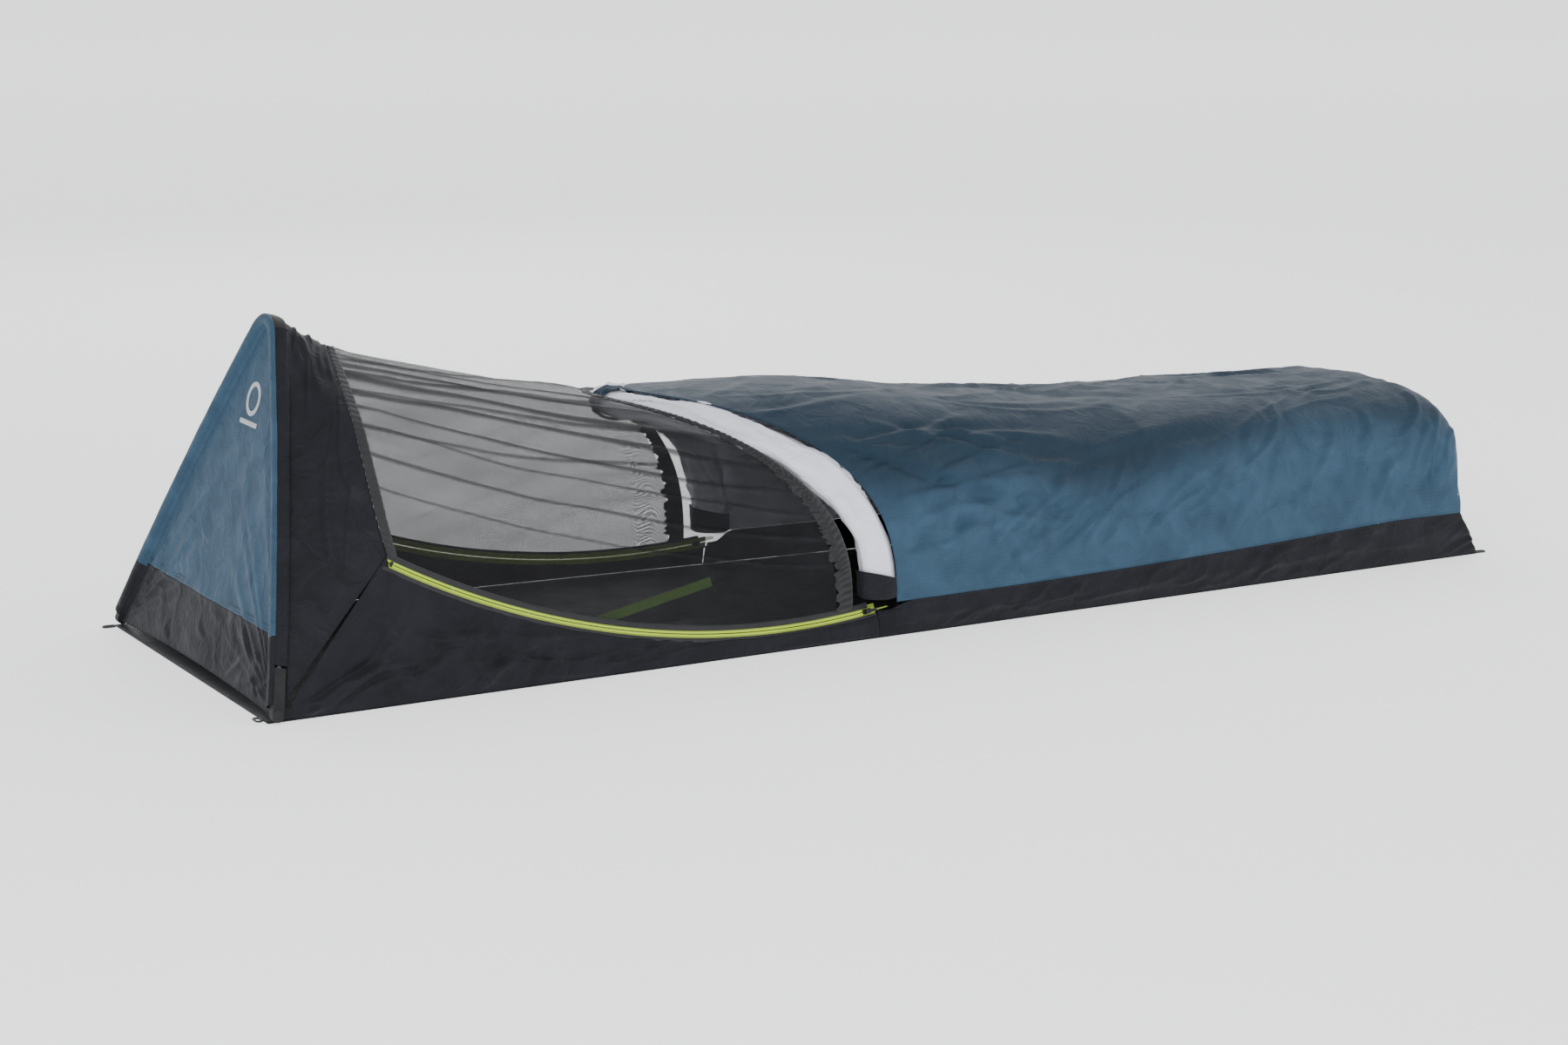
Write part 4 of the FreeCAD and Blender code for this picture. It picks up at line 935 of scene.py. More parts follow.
class BIVY_OT_bands(bpy.types.Operator):
    """Low bands beside and across the foot: straight from floor to shell, with a long crease half way up"""
    bl_idname = "bivy.bands"
    bl_label = "Low bands"

    def execute(self, context):
        s, t = np.meshgrid(np.concatenate([np.linspace(0, 0.1, 26)[:-1], np.linspace(0.1, 1, 260)]),
                           np.linspace(0, 1, 25), indexing="ij")
        grid = band_point(s, t)
        x, y = grid[..., 0], grid[..., 2]
        table = fold_rows(21, 46, (x.min() + 0.05, x.max(), 0.012, 0.075), (-6, 34), (0.02, 0.075),
                          (0.004, 0.009), (0.0014, 0.0036))
        edge = ease(t * 6) * ease((1 - t) * 6) * ease(s / 0.03)
        crease = 0.0045 * np.exp(-((t - 0.52 - 0.08 * noise(x * 5, x * 0, 22)) / 0.16) ** 2) * ease(s * 6)
        height = crease + folds(x, y, table) + 0.0016 * creases(x, y, 23, 26.0, 0.4)
        grid = lifted(grid, height * edge * settings().fold_height)
        for side, points, flip in both_sides(grid):
            piece = thicken(grid_piece("band_cloth_" + side, points, [finish("dark cloth")], flip), CLOTH)
            replaced(piece, "sack", "dark_fabric", "low_band_" + side)
        inset = FABRIC + CLEAR
        s, t = np.meshgrid(np.linspace(-1, 1, 141), np.linspace(0, 1, 25), indexing="ij")
        top = foot_form(s, np.ones_like(s))
        top = top + point(CLEAR, -np.sign(top[..., 1]) * inset, 0)
        bottom = point(FOOT_EDGE + HOOP_X, s * (FOOT_HALF - inset), FLOOR_THICK + FABRIC * 0.7)
        grid = blended(bottom, top, t[..., None])
        x, y = grid[..., 1], grid[..., 2]
        table = fold_rows(24, 20, (-0.22, 0.22, 0.012, 0.075), (-50, 50), (0.02, 0.06), (0.004, 0.008),
                          (0.001, 0.003))
        edge = ease(t * 6) * ease((1 - t) * 6) * ease((1 - np.abs(s)) * 12)
        crease = 0.003 * np.exp(-((t - 0.5) / 0.2) ** 2)
        height = crease + folds(x, y, table) + 0.0015 * creases(x, y, 25, 26.0)
        grid = lifted(grid, height * edge * settings().fold_height, 1.0)
        piece = thicken(grid_piece("band_cloth_foot", grid, [finish("dark cloth")]), CLOTH)
        replaced(piece, "sack", "dark_fabric", "foot_band")
        return {"FINISHED"}


def shell_grid():
    """Shell over the sleeper and round the foot, with its run and its distance across from the near band."""
    share = np.linspace(-1, 1, 221)
    share = np.sign(share) * (1 - (1 - np.abs(share)) ** 1.25)
    share = share[None, :]
    front = roll_station(share) + SHELL_START / roll_frame(share * ROLL_END)[1][..., 0]
    body = form(blended(front, BODY_END, np.linspace(0, 1, 151)[:, None]), np.broadcast_to(share, (151, 221)))
    turn = ease(np.linspace(0, 1, 57)[1:, None]) * 0.6 + np.linspace(0, 1, 57)[1:, None] * 0.4
    foot = foot_form(np.broadcast_to(share, (56, 221)), turn)
    grid = np.concatenate([body, foot], 0)
    grid[..., 2] += CLEAR
    return grid, np.broadcast_to(share, grid.shape[:2])


def shell_height(grid, share):
    """Folds of the shell: broad hollows over the knees, long folds behind the roll, short ones above the
    bands and steep ones round the foot, all told in run and in distance from the near band."""
    run = grid[..., 0] - HOOP_X
    across = lengths(grid, 1)
    total = across[:, -1:]
    near, far = across, total - across
    height = 0.006 * noise(run * 3.3, across * 3.3, 31) - 0.011 * np.exp(
        -((run - 1.36) / 0.13) ** 2 - ((near - 0.24) / 0.10) ** 2)
    for start, side in ((0, near), (100, far)):
        rows = [
            fold_rows(start + 32, 22, (0.96, 1.30, 0.06, 0.30), (-6, 22), (0.05, 0.15), (0.006, 0.012),
                      (0.0028, 0.0062)),
            fold_rows(start + 33, 30, (1.10, 1.62, 0.005, 0.12), (22, 48), (0.03, 0.09), (0.005, 0.009),
                      (0.0024, 0.0052)),
            fold_rows(start + 34, 26, (1.60, 2.08, 0.02, 0.20), (48, 76), (0.03, 0.10), (0.005, 0.010),
                      (0.0020, 0.0046)),
            fold_rows(start + 35, 16, (0.80, 2.00, 0.26, 0.46), (-12, 12), (0.07, 0.20), (0.010, 0.020),
                      (0.0020, 0.0044)),
            [(1.12, 0.17, math.radians(-24), 0.20, 0.016, -0.0090, 0.10),
             (1.24, 0.21, math.radians(-20), 0.22, 0.014, 0.0060, 0.12),
             (1.46, 0.20, math.radians(8), 0.16, 0.018, -0.0070, -0.10)],
        ]
        height = height + folds(run, side, np.concatenate(rows))
        pucker = np.sin(run * 2 * math.pi / 0.021 + 4 * noise(run * 9, run * 0, start + 36))
        height = height + 0.0018 * pucker * np.exp(-side / 0.022)
    height = height + 0.0034 * creases(run, across, 37, 13.0, 0.35)
    height = height + 0.0011 * creases(run, across, 38, 40.0, 1.0)
    height = 0.012 * np.tanh(height / 0.012) - 0.0060
    edge = ease((1 - np.abs(share)) * 14)
    row = np.arange(len(grid))[:, None]
    ends = ease(row / 8.0) * ease((len(grid) - 1 - row) / 6.0)
    return height * edge * ends


class BIVY_OT_shell(bpy.types.Operator):
    """Shell: superellipse sections that end in a rounded foot, lifted by folds, with a pale inner face"""
    bl_idname = "bivy.shell"
    bl_label = "Shell"

    def execute(self, context):
        grid, share = shell_grid()
        grid = lifted(grid, shell_height(grid, share) * settings().fold_height)
        piece = grid_piece("shell_cloth", grid, [finish("shell cloth"), finish("lining")])
        # painted shade: a darker top of the shell, read by the shell cloth
        floats(piece, "top_painted_shade", self.top_painted_shade(grid))
        thicken(piece, 0.0008, inner=1)
        replaced(piece, "sack", "blue_fabric", "shell_body", "foot_cap")
        return {"FINISHED"}

    def top_painted_shade(self, grid):
        """Share of painted shade on top: 1 above a scalloped line round the shell, soft across 90 mm."""
        run = grid[..., 0] - HOOP_X
        line = curve(TOP_SHADE_LINE, run)
        wander = 0.010 * noise(run * 6, grid[..., 1] * 0, 39)
        return ease((grid[..., 2] - line - wander + 0.045) / 0.090)


class BIVY_OT_flap(bpy.types.Operator):
    """Rolled flap: an oval carried along the roll's path, creased along its length, and its keeper strap"""
    bl_idname = "bivy.flap"
    bl_label = "Rolled flap"

    def execute(self, context):
        share = np.linspace(-1, 1, 261)
        share = np.sign(share) * (1 - (1 - np.abs(share)) ** 1.35) * ROLL_END
        centre, towards, normal = roll_frame(share)
        turn = np.arange(72) * 2 * math.pi / 72
        run = lengths(centre[:, None], 0)
        u, a = np.broadcast_arrays(run, turn[None, :])
        table = fold_rows(41, 44, (0, 1.1, 0.0, 0.19), (-16, 10), (0.03, 0.12), (0.0022, 0.005),
                          (0.0030, 0.0066))
        pleats = folds(u, a * 0.03, table)
        lap = 0.0022 * ease((a - 1.0) / 0.06) * (1 - ease((a - 2.6) / 1.2))
        swell = 0.0040 * noise(u * 15, a * 1.2, 42) + 0.0022 * creases(u, a * 0.03, 43, 60.0)
        grow = (pleats + lap + swell - 0.0042) * settings().fold_height
        grow = grow * ease((1 - np.abs(share[:, None])) / 0.07 - 0.3)
        ends = np.sqrt(np.clip(1 - (np.abs(np.linspace(-1, 1, 261)) - 0.985) / 0.015, 0, 1))[:, None]
        wide = ((ROLL_WIDTH / 2 + grow) * np.cos(turn) * ends)[..., None]
        high = ((ROLL_THICK / 2 + grow) * np.sin(turn) * ends)[..., None]
        grid = centre[:, None] + towards[:, None] * wide + normal[:, None] * high
        piece = weld(grid_piece("flap_roll", grid, [finish("lining")], round_columns=True))
        replaced(piece, "sack", "white_lining", "rolled_flap")
        self.keeper()
        self.ends()
        return {"FINISHED"}

    def ends(self):
        """Dark cap over each lower end of the roll: its front edge is slanted and its end is closed."""
        turn = np.arange(64) * 2 * math.pi / 64
        for side, sign in (("near", -1), ("far", 1)):
            i = np.linspace(0, 1, 17)[:, None]
            share = sign * blended(0.945 + 0.020 * np.cos(turn)[None], 0.999, i)
            centre, towards, normal = roll_frame(share)
            grow = 0.0034 + 0.0008 * noise(i * 5, turn[None] * 2.0, 45)
            close = np.where(i > 0.99, 0.0, np.sqrt(np.clip((1.02 - i) / 0.12, 0, 1)))
            grid = (centre + towards * ((ROLL_WIDTH / 2 + grow) * np.cos(turn) * close)[..., None]
                    + normal * ((ROLL_THICK / 2 + grow) * np.sin(turn) * close)[..., None])
            grid[..., 2] = np.maximum(grid[..., 2], 0.004)
            made = grid_piece("flap_end_" + side, grid, [finish("dark cloth")], sign < 0, round_columns=True)
            replaced(weld(made), "sack", "dark_fabric")

    def keeper(self):
        """Strap: an oval a little larger than the roll, 33 mm wide, with soft ripples."""
        centre, towards, normal = (v[0] for v in roll_frame(np.array([0.005])))
        path = np.cross(normal, towards)
        t, a = np.meshgrid(np.linspace(-1, 1, 21), np.arange(96) * 2 * math.pi / 96, indexing="ij")
        ripple = 0.0011 * np.sin(t * 9 + np.sin(a * 3)) * (1 - t * t)
        grow = 0.0034 + ripple + 0.0012 * noise(t * 2, a * 4, 44)
        grid = (centre + towards * ((ROLL_WIDTH / 2 + grow) * np.cos(a))[..., None]
                + normal * ((ROLL_THICK / 2 + grow) * np.sin(a))[..., None]
                + path * (t * (0.0165 + 0.001 * np.sin(a * 5)))[..., None])
        piece = thicken(grid_piece("flap_strap", grid, [finish("strap cloth")], round_columns=True), 0.0010)
        replaced(piece, "sack", "blue_top_fabric", "flap_keeper")


class BIVY_OT_hood(bpy.types.Operator):
    """Hood canopy: straight from the sleeve to the arch, drawn into soft folds"""
    bl_idname = "bivy.hood"
    bl_label = "Hood canopy"

    def execute(self, context):
        i, s = np.meshgrid(np.linspace(0, 1, 61), np.linspace(-1, 1, 241), indexing="ij")
        grid = blended(hood_edge(s), arch(s), i[..., None])
        run, across = i * 0.12, lengths(grid, 1)
        table = np.concatenate([
            fold_rows(51, 16, (0.02, 0.11, 0.05, 1.0), (70, 110), (0.03, 0.10), (0.006, 0.012),
                      (0.0016, 0.0034)),
            fold_rows(52, 8, (0.03, 0.10, 0.46, 0.60), (60, 120), (0.02, 0.05), (0.005, 0.009),
                      (0.0016, 0.0034))])
        height = folds(run, across, table) + 0.0013 * noise(across * 12, run * 10, 53)
        gather = np.sin(across * 2 * math.pi / 0.012 + 3 * noise(across * 20, run * 0, 54))
        height = height + 0.0007 * gather * np.exp(-run / 0.006)
        edge = ease(i * 8) * ease((1 - i) * 8) * ease((1 - np.abs(s)) * 20)
        grid = lifted(grid, height * edge * settings().fold_height)
        piece = thicken(grid_piece("hood_cloth", grid, [finish("dark cloth")]), CLOTH)
        share = np.maximum(fold_share(grid, (1 - np.abs(s)) * 2.4), ease(1 - i * 3) * (1 - i))
        share = np.where(i <= 0.02, 1.0, share)
        hang_hood(piece, share, "dark_fabric", "hood_canopy")
        self.binding()
        return {"FINISHED"}

    def binding(self):
        """Binding along the canopy's rear edge: the first stretch of the netting, rippled by its seam."""
        t, s = np.meshgrid(np.linspace(0.0, BINDING / NET_LENGTH, 7), np.linspace(-1, 1, 301), indexing="ij")
        grid = net(t, s)
        across = lengths(grid, 1)
        ripple = np.sin(across * 2 * math.pi / 0.011 + 3 * noise(across * 25, across * 0, 55))
        grid = lifted(grid, 0.0006 * (ripple + 1))
        piece = thicken(grid_piece("hood_binding", grid, [finish("binding")]), 0.0012, offset=0.0)
        hang_hood(piece, fold_share(grid, (1 - np.abs(s)) * 2.4), "binding_tape", "canopy_binding")


# station, height of the lower edge of the shade painted on the shell's top
TOP_SHADE_LINE = ((0.70, 0.335), (0.80, 0.300), (0.90, 0.235), (1.00, 0.200), (1.10, 0.215), (1.22, 0.225),
            (1.36, 0.185), (1.46, 0.180), (1.58, 0.215), (1.72, 0.240), (1.90, 0.235), (2.05, 0.220),
            (2.14, 0.215))
# share across at the arch and at the roll, half width and cover of each pleat of the netting
PLEATS = ((-0.05, -0.09, 0.012, 0.70), (-0.10, -0.21, 0.016, 0.90), (-0.17, -0.37, 0.024, 0.95),
          (-0.26, -0.49, 0.015, 0.90), (-0.35, -0.60, 0.009, 0.85), (-0.44, -0.68, 0.006, 0.75),
          (-0.54, -0.79, 0.007, 0.80), (-0.66, -0.88, 0.005, 0.70), (0.08, 0.15, 0.012, 0.80),
          (0.20, 0.38, 0.018, 0.85), (0.34, 0.55, 0.009, 0.75), (0.52, 0.72, 0.007, 0.70))


class BIVY_OT_netting(bpy.types.Operator):
    """Netting: stretched from the binding to the roll and the zips, with pleats where it is gathered"""
    bl_idname = "bivy.netting"
    bl_label = "Netting"

    def execute(self, context):
        start, stop = BINDING / NET_LENGTH, 1 - HEM / NET_LENGTH
        t, s = np.meshgrid(np.linspace(start, stop, 121), np.linspace(-1, 1, 401), indexing="ij")
        grid = net(t, s)
        across = lengths(grid, 1)
        cover, height = np.zeros_like(t), np.zeros_like(t)
        for first, last, width, depth in PLEATS:
            middle = blended(first, last, t) + 0.010 * noise(t * 5 + first * 40, t * 0, 61)
            v = (s - middle) / (width * (0.55 + 0.6 * np.abs(t - 0.45)) * 1.6)
            cover = np.maximum(cover, depth * np.exp(-v**4))
            height += 0.0035 * depth * np.exp(-v * v) - 0.002 * np.exp(-((v - 1.8) / 1.6) ** 2)
        height += 0.004 * noise(across * 9, t * 2.2, 62)
        height += 0.0012 * creases(across, t * 0.4, 63, 26.0, 1.45, 5.0)
        edge = ease((1 - np.abs(s)) * 12) * ease((t - start) * 16) * ease((stop - t) * 12)
        grid = lifted(grid, height * edge * settings().fold_height)
        piece = grid_piece("net_cloth", grid, [finish("netting")])
        streaks = 0.16 * creases(across, t * 0.45, 64, 22.0, 1.4, 6.0)
        floats(piece, "fold_cover", np.clip(cover + streaks * (cover < 0.1), 0, 1))
        hang_hood(piece, fold_share(grid, (1 - np.abs(s)) * 2.4), "netting", "mesh_panel")
        self.hem()
        self.pocket()
        return {"FINISHED"}

    def hem(self):
        """Gathered hem: ripples across the strip whose edge wanders."""
        t, s = np.meshgrid(np.linspace(0, 1, 13), np.linspace(-1, 1, 701), indexing="ij")
        wander = 0.25 * noise(s * 60, t * 0, 65) + 0.15 * noise(s * 150, t * 0, 66)
        grid = net(1 - HEM / NET_LENGTH * (1 - t) * (1 + wander * (1 - t)), s)
        across = lengths(grid, 1)
        ripple = np.sin(across * 2 * math.pi / 0.010 + 4 * noise(across * 22, t * 0, 67))
        grid = lifted(grid, (0.0016 * ripple + 0.0020) * np.sin(np.clip(t, 0, 1) * math.pi) ** 0.5)
        piece = thicken(grid_piece("net_hem", grid, [finish("binding")]), 0.0010, offset=0.0)
        replaced(piece, "sack", "binding_tape", "mesh_hem")

    def pocket(self):
        """Inner pocket: netting between the pocket's corners, hung slack from its bright edge."""
        corners = np.array([on_wall(*c) for c in POCKET])
        run = np.linspace(0, 1, 121)
        top = np.stack([np.interp(run, (0, 0.5, 1), corners[1:4, k]) for k in range(2)], -1)
        low = np.stack([np.interp(run, (0, 0.58, 1), corners[[0, 5, 4], k]) for k in range(2)], -1)
        t = np.linspace(0, 1, 31)[None, :, None]
        flat = blended(low[:, None], top[:, None], t)
        slack = 0.0016 * np.sin(t[..., 0] * math.pi) * noise(flat[..., 0] * 26, flat[..., 1] * 9, 68)
        grid = from_wall(flat[..., 0], flat[..., 1], slack - POCKET_DEPTH - FABRIC / 2)
        piece = grid_piece("pocket_net", grid, [finish("pocket netting")], True)
        floats(piece, "fold_cover", 0.25 + 0.3 * creases(flat[..., 0], flat[..., 1], 69, 30.0, 0.5))
        replaced(piece, "sack", "netting", "inner_pocket")
        dress("pocket edge", "pocket_trim")


def panel_half(height):
    """Half width of the head panel at a height of the hoop's plane, inside the sleeve."""
    inward = SLEEVE_DEPTH / 2 + CLEAR
    length = np.linspace(0, POLE_HALF, 600)
    place = hoop_line(length, inward)[0]
    return np.interp(height, place[::-1, 1], place[::-1, 0])


def panel_top():
    return HOOP_HEIGHT - SLEEVE_DEPTH / 2 - CLEAR


# angle from the floor, half width and height of each fold of the head panel's fan
HEAD_FAN = ((0.42, 0.030, 0.0022), (0.55, 0.035, 0.0034), (0.68, 0.030, 0.0036), (0.80, 0.035, 0.0030),
            (0.93, 0.030, 0.0020), (0.28, 0.030, 0.0018))


class BIVY_OT_head(bpy.types.Operator):
    """Head panels: flat inside the hoop, with folds that run down to the two corners, and the emblem"""
    bl_idname = "bivy.head"
    bl_label = "Head panels"

    def execute(self, context):
        t, s = np.meshgrid(np.linspace(0, 1, 150), np.linspace(-1, 1, 181), indexing="ij")
        height = blended(SEAM_HEIGHT, panel_top(), 1 - (1 - t) ** 1.3)
        upper = self.panel("head_cloth_upper", height, s, 0.0, 1.0, "shell cloth")
        replaced(upper, "hoop", "blue_fabric", "head_panel_upper")
        t, s = np.meshgrid(np.linspace(0, 1, 50), np.linspace(-1, 1, 181), indexing="ij")
        height = blended(PANEL_SCALLOP * (1 - s * s) - PANEL_DROP, SEAM_HEIGHT, t)
        low_rows = fold_rows(73, 12, (-0.30, 0.30, 0.01, 0.09), (-50, 50), (0.02, 0.05), (0.006, 0.01),
                             (0.001, 0.003))
        low_folds = folds(s * panel_half(np.maximum(height, 0.0)), height, low_rows)
        lower = self.panel("head_cloth_lower", height, s, low_folds, ease(t * 5), "dark cloth")
        replaced(lower, "hoop", "dark_fabric", "head_panel_lower")
        dress("print", "head_mark")
        seam = float(hoop_length_at(SEAM_HEIGHT))
        end = POLE_HALF - 0.012
        self.edging("head_edge_upper", ((-seam, seam, 420),), "shell cloth", "blue_fabric")
        self.edging("head_edge_lower", ((-end, -seam, 60), (seam, end, 60)), "dark cloth", "dark_fabric")
        return {"FINISHED"}

    def panel(self, name, height, s, extra, free, material):
        """Cloth between two heights: a fan of folds from each lower corner, flat round the emblem."""
        x = s * panel_half(np.maximum(height, 0.0))
        rise = extra + self.fan(x, height)
        rise += 0.0018 * noise(x * 8, height * 8, 74) + 0.0009 * creases(x, height, 75, 22.0, 1.1)
        edge = ease((1 - np.abs(s)) * 8) * ease((panel_top() - height) / 0.03) * free
        edge = edge * ease((np.hypot(x, height - MARK_HEIGHT) - MARK_REACH) / 0.04)
        seam = 0.0010 * np.exp(-((height - SEAM_HEIGHT) / 0.006) ** 2)
        grid = from_hoop(x, height, -(rise * edge * settings().fold_height + seam + FABRIC / 2))
        return thicken(weld(grid_piece(name, grid, [finish(material)], True)), CLOTH)

    def fan(self, x, height):
        """Folds that run out of both lower corners: each is a ridge about an angle, 0.16 to 0.4 m long."""
        corner = panel_half(0.0)
        rise = np.zeros_like(x)
        for index, side in enumerate((-1, 1)):
            reach = np.hypot(x - side * corner, height)
            angle = np.arctan2(height, np.abs(x - side * corner))
            strength = 1.0 if side > 0 else 0.75
            for k, (at, width, tall) in enumerate(HEAD_FAN):
                spot = at + 0.03 * noise(reach * 6, reach * 0 + k, 71 + index)
                along = ease(reach / 0.05) * (1 - ease((reach - 0.16 - 0.03 * k) / 0.22))
                rise += tall * np.exp(-((angle - spot) / width) ** 2) * along * strength
        return rise

    def edging(self, name, spans, material, slot):
        """Edge of the head panel, wrapped over the sleeve: a profile of distance inward and depth, carried
        along the hoop."""
        inward = np.array([-0.0078, -0.0072, -0.0045, 0.0, 0.0045, 0.0078, 0.0098, 0.0112, 0.0150])
        depth = np.array([-0.0095, -0.0125, -0.0142, -0.0145, -0.0140, -0.0122, -0.0075, -0.0030, -0.0011])
        parts = []
        for start, stop, count in spans:
            place, outward = hoop_line(np.linspace(start, stop, count))
            flat = place[:, None] - outward[:, None] * inward[None, :, None]
            grid = from_hoop(flat[..., 0], flat[..., 1], depth[None, :] - 0.0004 * noise(
                np.linspace(start, stop, count)[:, None] * 40, inward[None] * 90, 76))
            parts.append((grid.reshape(-1, 3), grid_faces(count, len(inward))))
        points, faces = joined(parts)
        flat = np.stack([points[:, 2], points[:, 1]], -1)
        replaced(thicken(mesh_piece(name, points, faces, [finish(material)], flat), 0.0007), "hoop", slot)


class BIVY_OT_sleeve(bpy.types.Operator):
    """Pole sleeve: a flat tube carried along the hoop, gathered by its seam, with a patch over the crown"""
    bl_idname = "bivy.sleeve"
    bl_label = "Pole sleeve"

    def execute(self, context):
        end = POLE_HALF - SLEEVE_START
        piece = self.tube("sleeve_cloth", np.linspace(-end, end, 520), 0.0, finish("dark cloth"))
        replaced(piece, "hoop", "dark_fabric", "pole_sleeve")
        patch = self.tube("crown_patch", np.linspace(-0.034, 0.034, 60), 0.0009, finish("crown cloth"))
        replaced(patch, "hoop", "dark_fabric")
        dress("webbing", "pole_pocket_near", "pole_pocket_far")
        return {"FINISHED"}

    def tube(self, name, length, grow, material):
        """Flat oval section: width along the hoop's normal, thickness in its plane, with gathered ripples."""
        place, outward = hoop_line(length)
        a = np.arange(40) * 2 * math.pi / 40
        power = 0.62
        wide = (SLEEVE_WIDTH / 2 + grow) * np.sign(np.cos(a)) * np.abs(np.cos(a)) ** power
        deep = (SLEEVE_DEPTH / 2 + grow) * np.sign(np.sin(a)) * np.abs(np.sin(a)) ** power
        ripple = 0.0005 * noise(length * 45, length * 0, 81)
        hollow = 0.0008 * (noise(length[:, None] * 16, a[None] * 1.0, 82) + 1) / 2
        ripple = ripple[:, None] * np.abs(np.cos(a)) - hollow
        x = place[:, None, 0] + outward[:, None, 0] * (deep * (1 + ripple / 0.0075))
        y = place[:, None, 1] + outward[:, None, 1] * (deep * (1 + ripple / 0.0075))
        grid = from_hoop(x, y, wide[None, :] * (1 + ripple / 0.013))
        made = grid_piece(name, grid, [material], round_columns=True)
        return thicken(made, 0.0010)


class BIVY_OT_zips(bpy.types.Operator):
    """Zips: rows of teeth along the arc, each a short bent wire; tapes, stops, sliders, pulls and garages"""
    bl_idname = "bivy.zips"
    bl_label = "Zips"

    def execute(self, context):
        for side in ("near", "far"):
            for row_name, sign in (("lower", 1), ("upper", -1)):
                points, faces = self.teeth(sign)
                if side == "far":
                    points, faces = points * MIRROR, faces[:, ::-1]
                piece = mesh_piece("zip_teeth_%s_%s" % (row_name, side), points, faces, [finish("zip teeth")])
                replaced(piece, "sack", "bright_coil", "zip_coil_%s_%s" % (row_name, side))
                dress("zip tape", "zip_tape_%s_%s" % (row_name, side))
            dress("slider enamel", "zip_stops_" + side, "zip_slider_" + side, "zip_pull_" + side)
            dress("zip tape", "pull_cord_" + side)
        self.garages()
        self.laps()
        return {"FINISHED"}

    def laps(self):
        """Dark laps of the wall and of the netting's edge over the outer parts of the tapes: flat ovals swept
        along the arc."""
        angle = np.linspace(ZIP_BEGIN - TAIL, ZIP_STOP + TAIL, 200)
        out = np.broadcast_to(WALL_OUT, (200, 3))
        parts = []
        for radius, half, last in ((ZIP_RADIUS + 0.0088, 0.0032, 1.0), (ZIP_RADIUS - 0.0090, 0.0042, 0.985)):
            lift = 0.0004 + 0.0003 * noise(angle * 60, angle, 86)
            path = on_arc(radius, angle[0] + (angle - angle[0]) * last, lift)
            side = unit(on_arc(radius + 0.01, angle) - on_arc(radius, angle))
            points, faces = swept(path, side, out, half, 0.0009, 10)
            parts += [(points, faces[:, ::-1]), (points * MIRROR, faces)]
        replaced(mesh_piece("zip_laps", *joined(parts), [finish("binding")]), "sack", "binding_tape")

    def teeth(self, sign):
        """A tooth is a wire loop: out from the tape, over the middle line's edge and back."""
        count = int((ZIP_STOP - ZIP_BEGIN) * ZIP_RADIUS / settings().tooth_pitch)
        shift = (0.5 if sign < 0 else 0.0) * settings().tooth_pitch / ZIP_RADIUS
        angle = np.linspace(ZIP_BEGIN, ZIP_STOP, count) + shift
        loop = np.linspace(0, math.pi, 7)
        reach = COIL_GAP / 2 + 2 * COIL_RADIUS - 0.0003 - (2 * COIL_RADIUS + 0.0001) * np.sin(loop)
        lift = COIL_RADIUS - 0.9 * COIL_RADIUS * np.cos(loop)
        radius = ZIP_RADIUS + sign * reach
        path = on_arc(radius[None, :], angle[:, None] + 0.0 * loop, np.clip(lift, 0.00035, 0.00225)[None, :])
        along = unit(np.gradient(path, axis=1))
        side = unit(on_arc(ZIP_RADIUS, angle + 1e-4) - on_arc(ZIP_RADIUS, angle - 1e-4))[:, None]
        up = np.cross(along, np.broadcast_to(side, along.shape))
        turn = np.arange(6) * math.pi / 3
        flat = np.broadcast_to(side, along.shape)[:, :, None] * np.cos(turn)[:, None] * 1.7
        ring = path[:, :, None] + 0.00036 * (flat + up[:, :, None] * np.sin(turn)[:, None])
        one = grid_faces(7, 6, False, True)
        faces = (one[None] + (np.arange(count) * 42)[:, None, None]).reshape(-1, 4)
        return ring.reshape(-1, 3), faces[:, ::-1]

    def garages(self):
        """Cover over the zip's lower end: a patch on the low band with rounded relief."""
        first, last, low, high = GARAGE
        i, j = np.meshgrid(np.linspace(0, 1, 41), np.linspace(0, 1, 31), indexing="ij")
        length = (blended(first, last, i) - WALL_REAR) / (FOOT_EDGE - WALL_REAR)
        upper = band_point(length, np.ones_like(length))
        share = blended(low, high, j) / upper[..., 2]
        grid = band_point(length, share) + np.array([0, -0.0008, 0])
        edge = np.minimum(ease(np.minimum(i, 1 - i) * 8), ease(np.minimum(j, 1 - j) * 6))
        grid[..., 1] -= 0.0016 * edge * (0.7 + 0.4 * noise(i * 7, j * 4, 85))
        for side, points, flip in both_sides(grid):
            piece = thicken(grid_piece("zip_cover_" + side, points, [finish("dark cloth")], flip), CLOTH)
            replaced(piece, "sack", "dark_fabric", "zip_garage_" + side)


class BIVY_OT_hardware(bpy.types.Operator):
    """Pole, ferrules, tips, elastic cord and the corner loops take their finishes"""
    bl_idname = "bivy.hardware"
    bl_label = "Pole and loops"

    def execute(self, context):
        dress("glass fibre", *["pole_section_%d" % k for k in range(1, 6)])
        dress("ferrule metal", "pole_ferrules", "pole_tips")
        dress("elastic braid", "pole_shock_cord")
        loops = ["stake_loop_%s_%s" % (end, side) for end in ("head", "foot") for side in ("near", "far")]
        dress("loop braid", *loops)
        return {"FINISHED"}


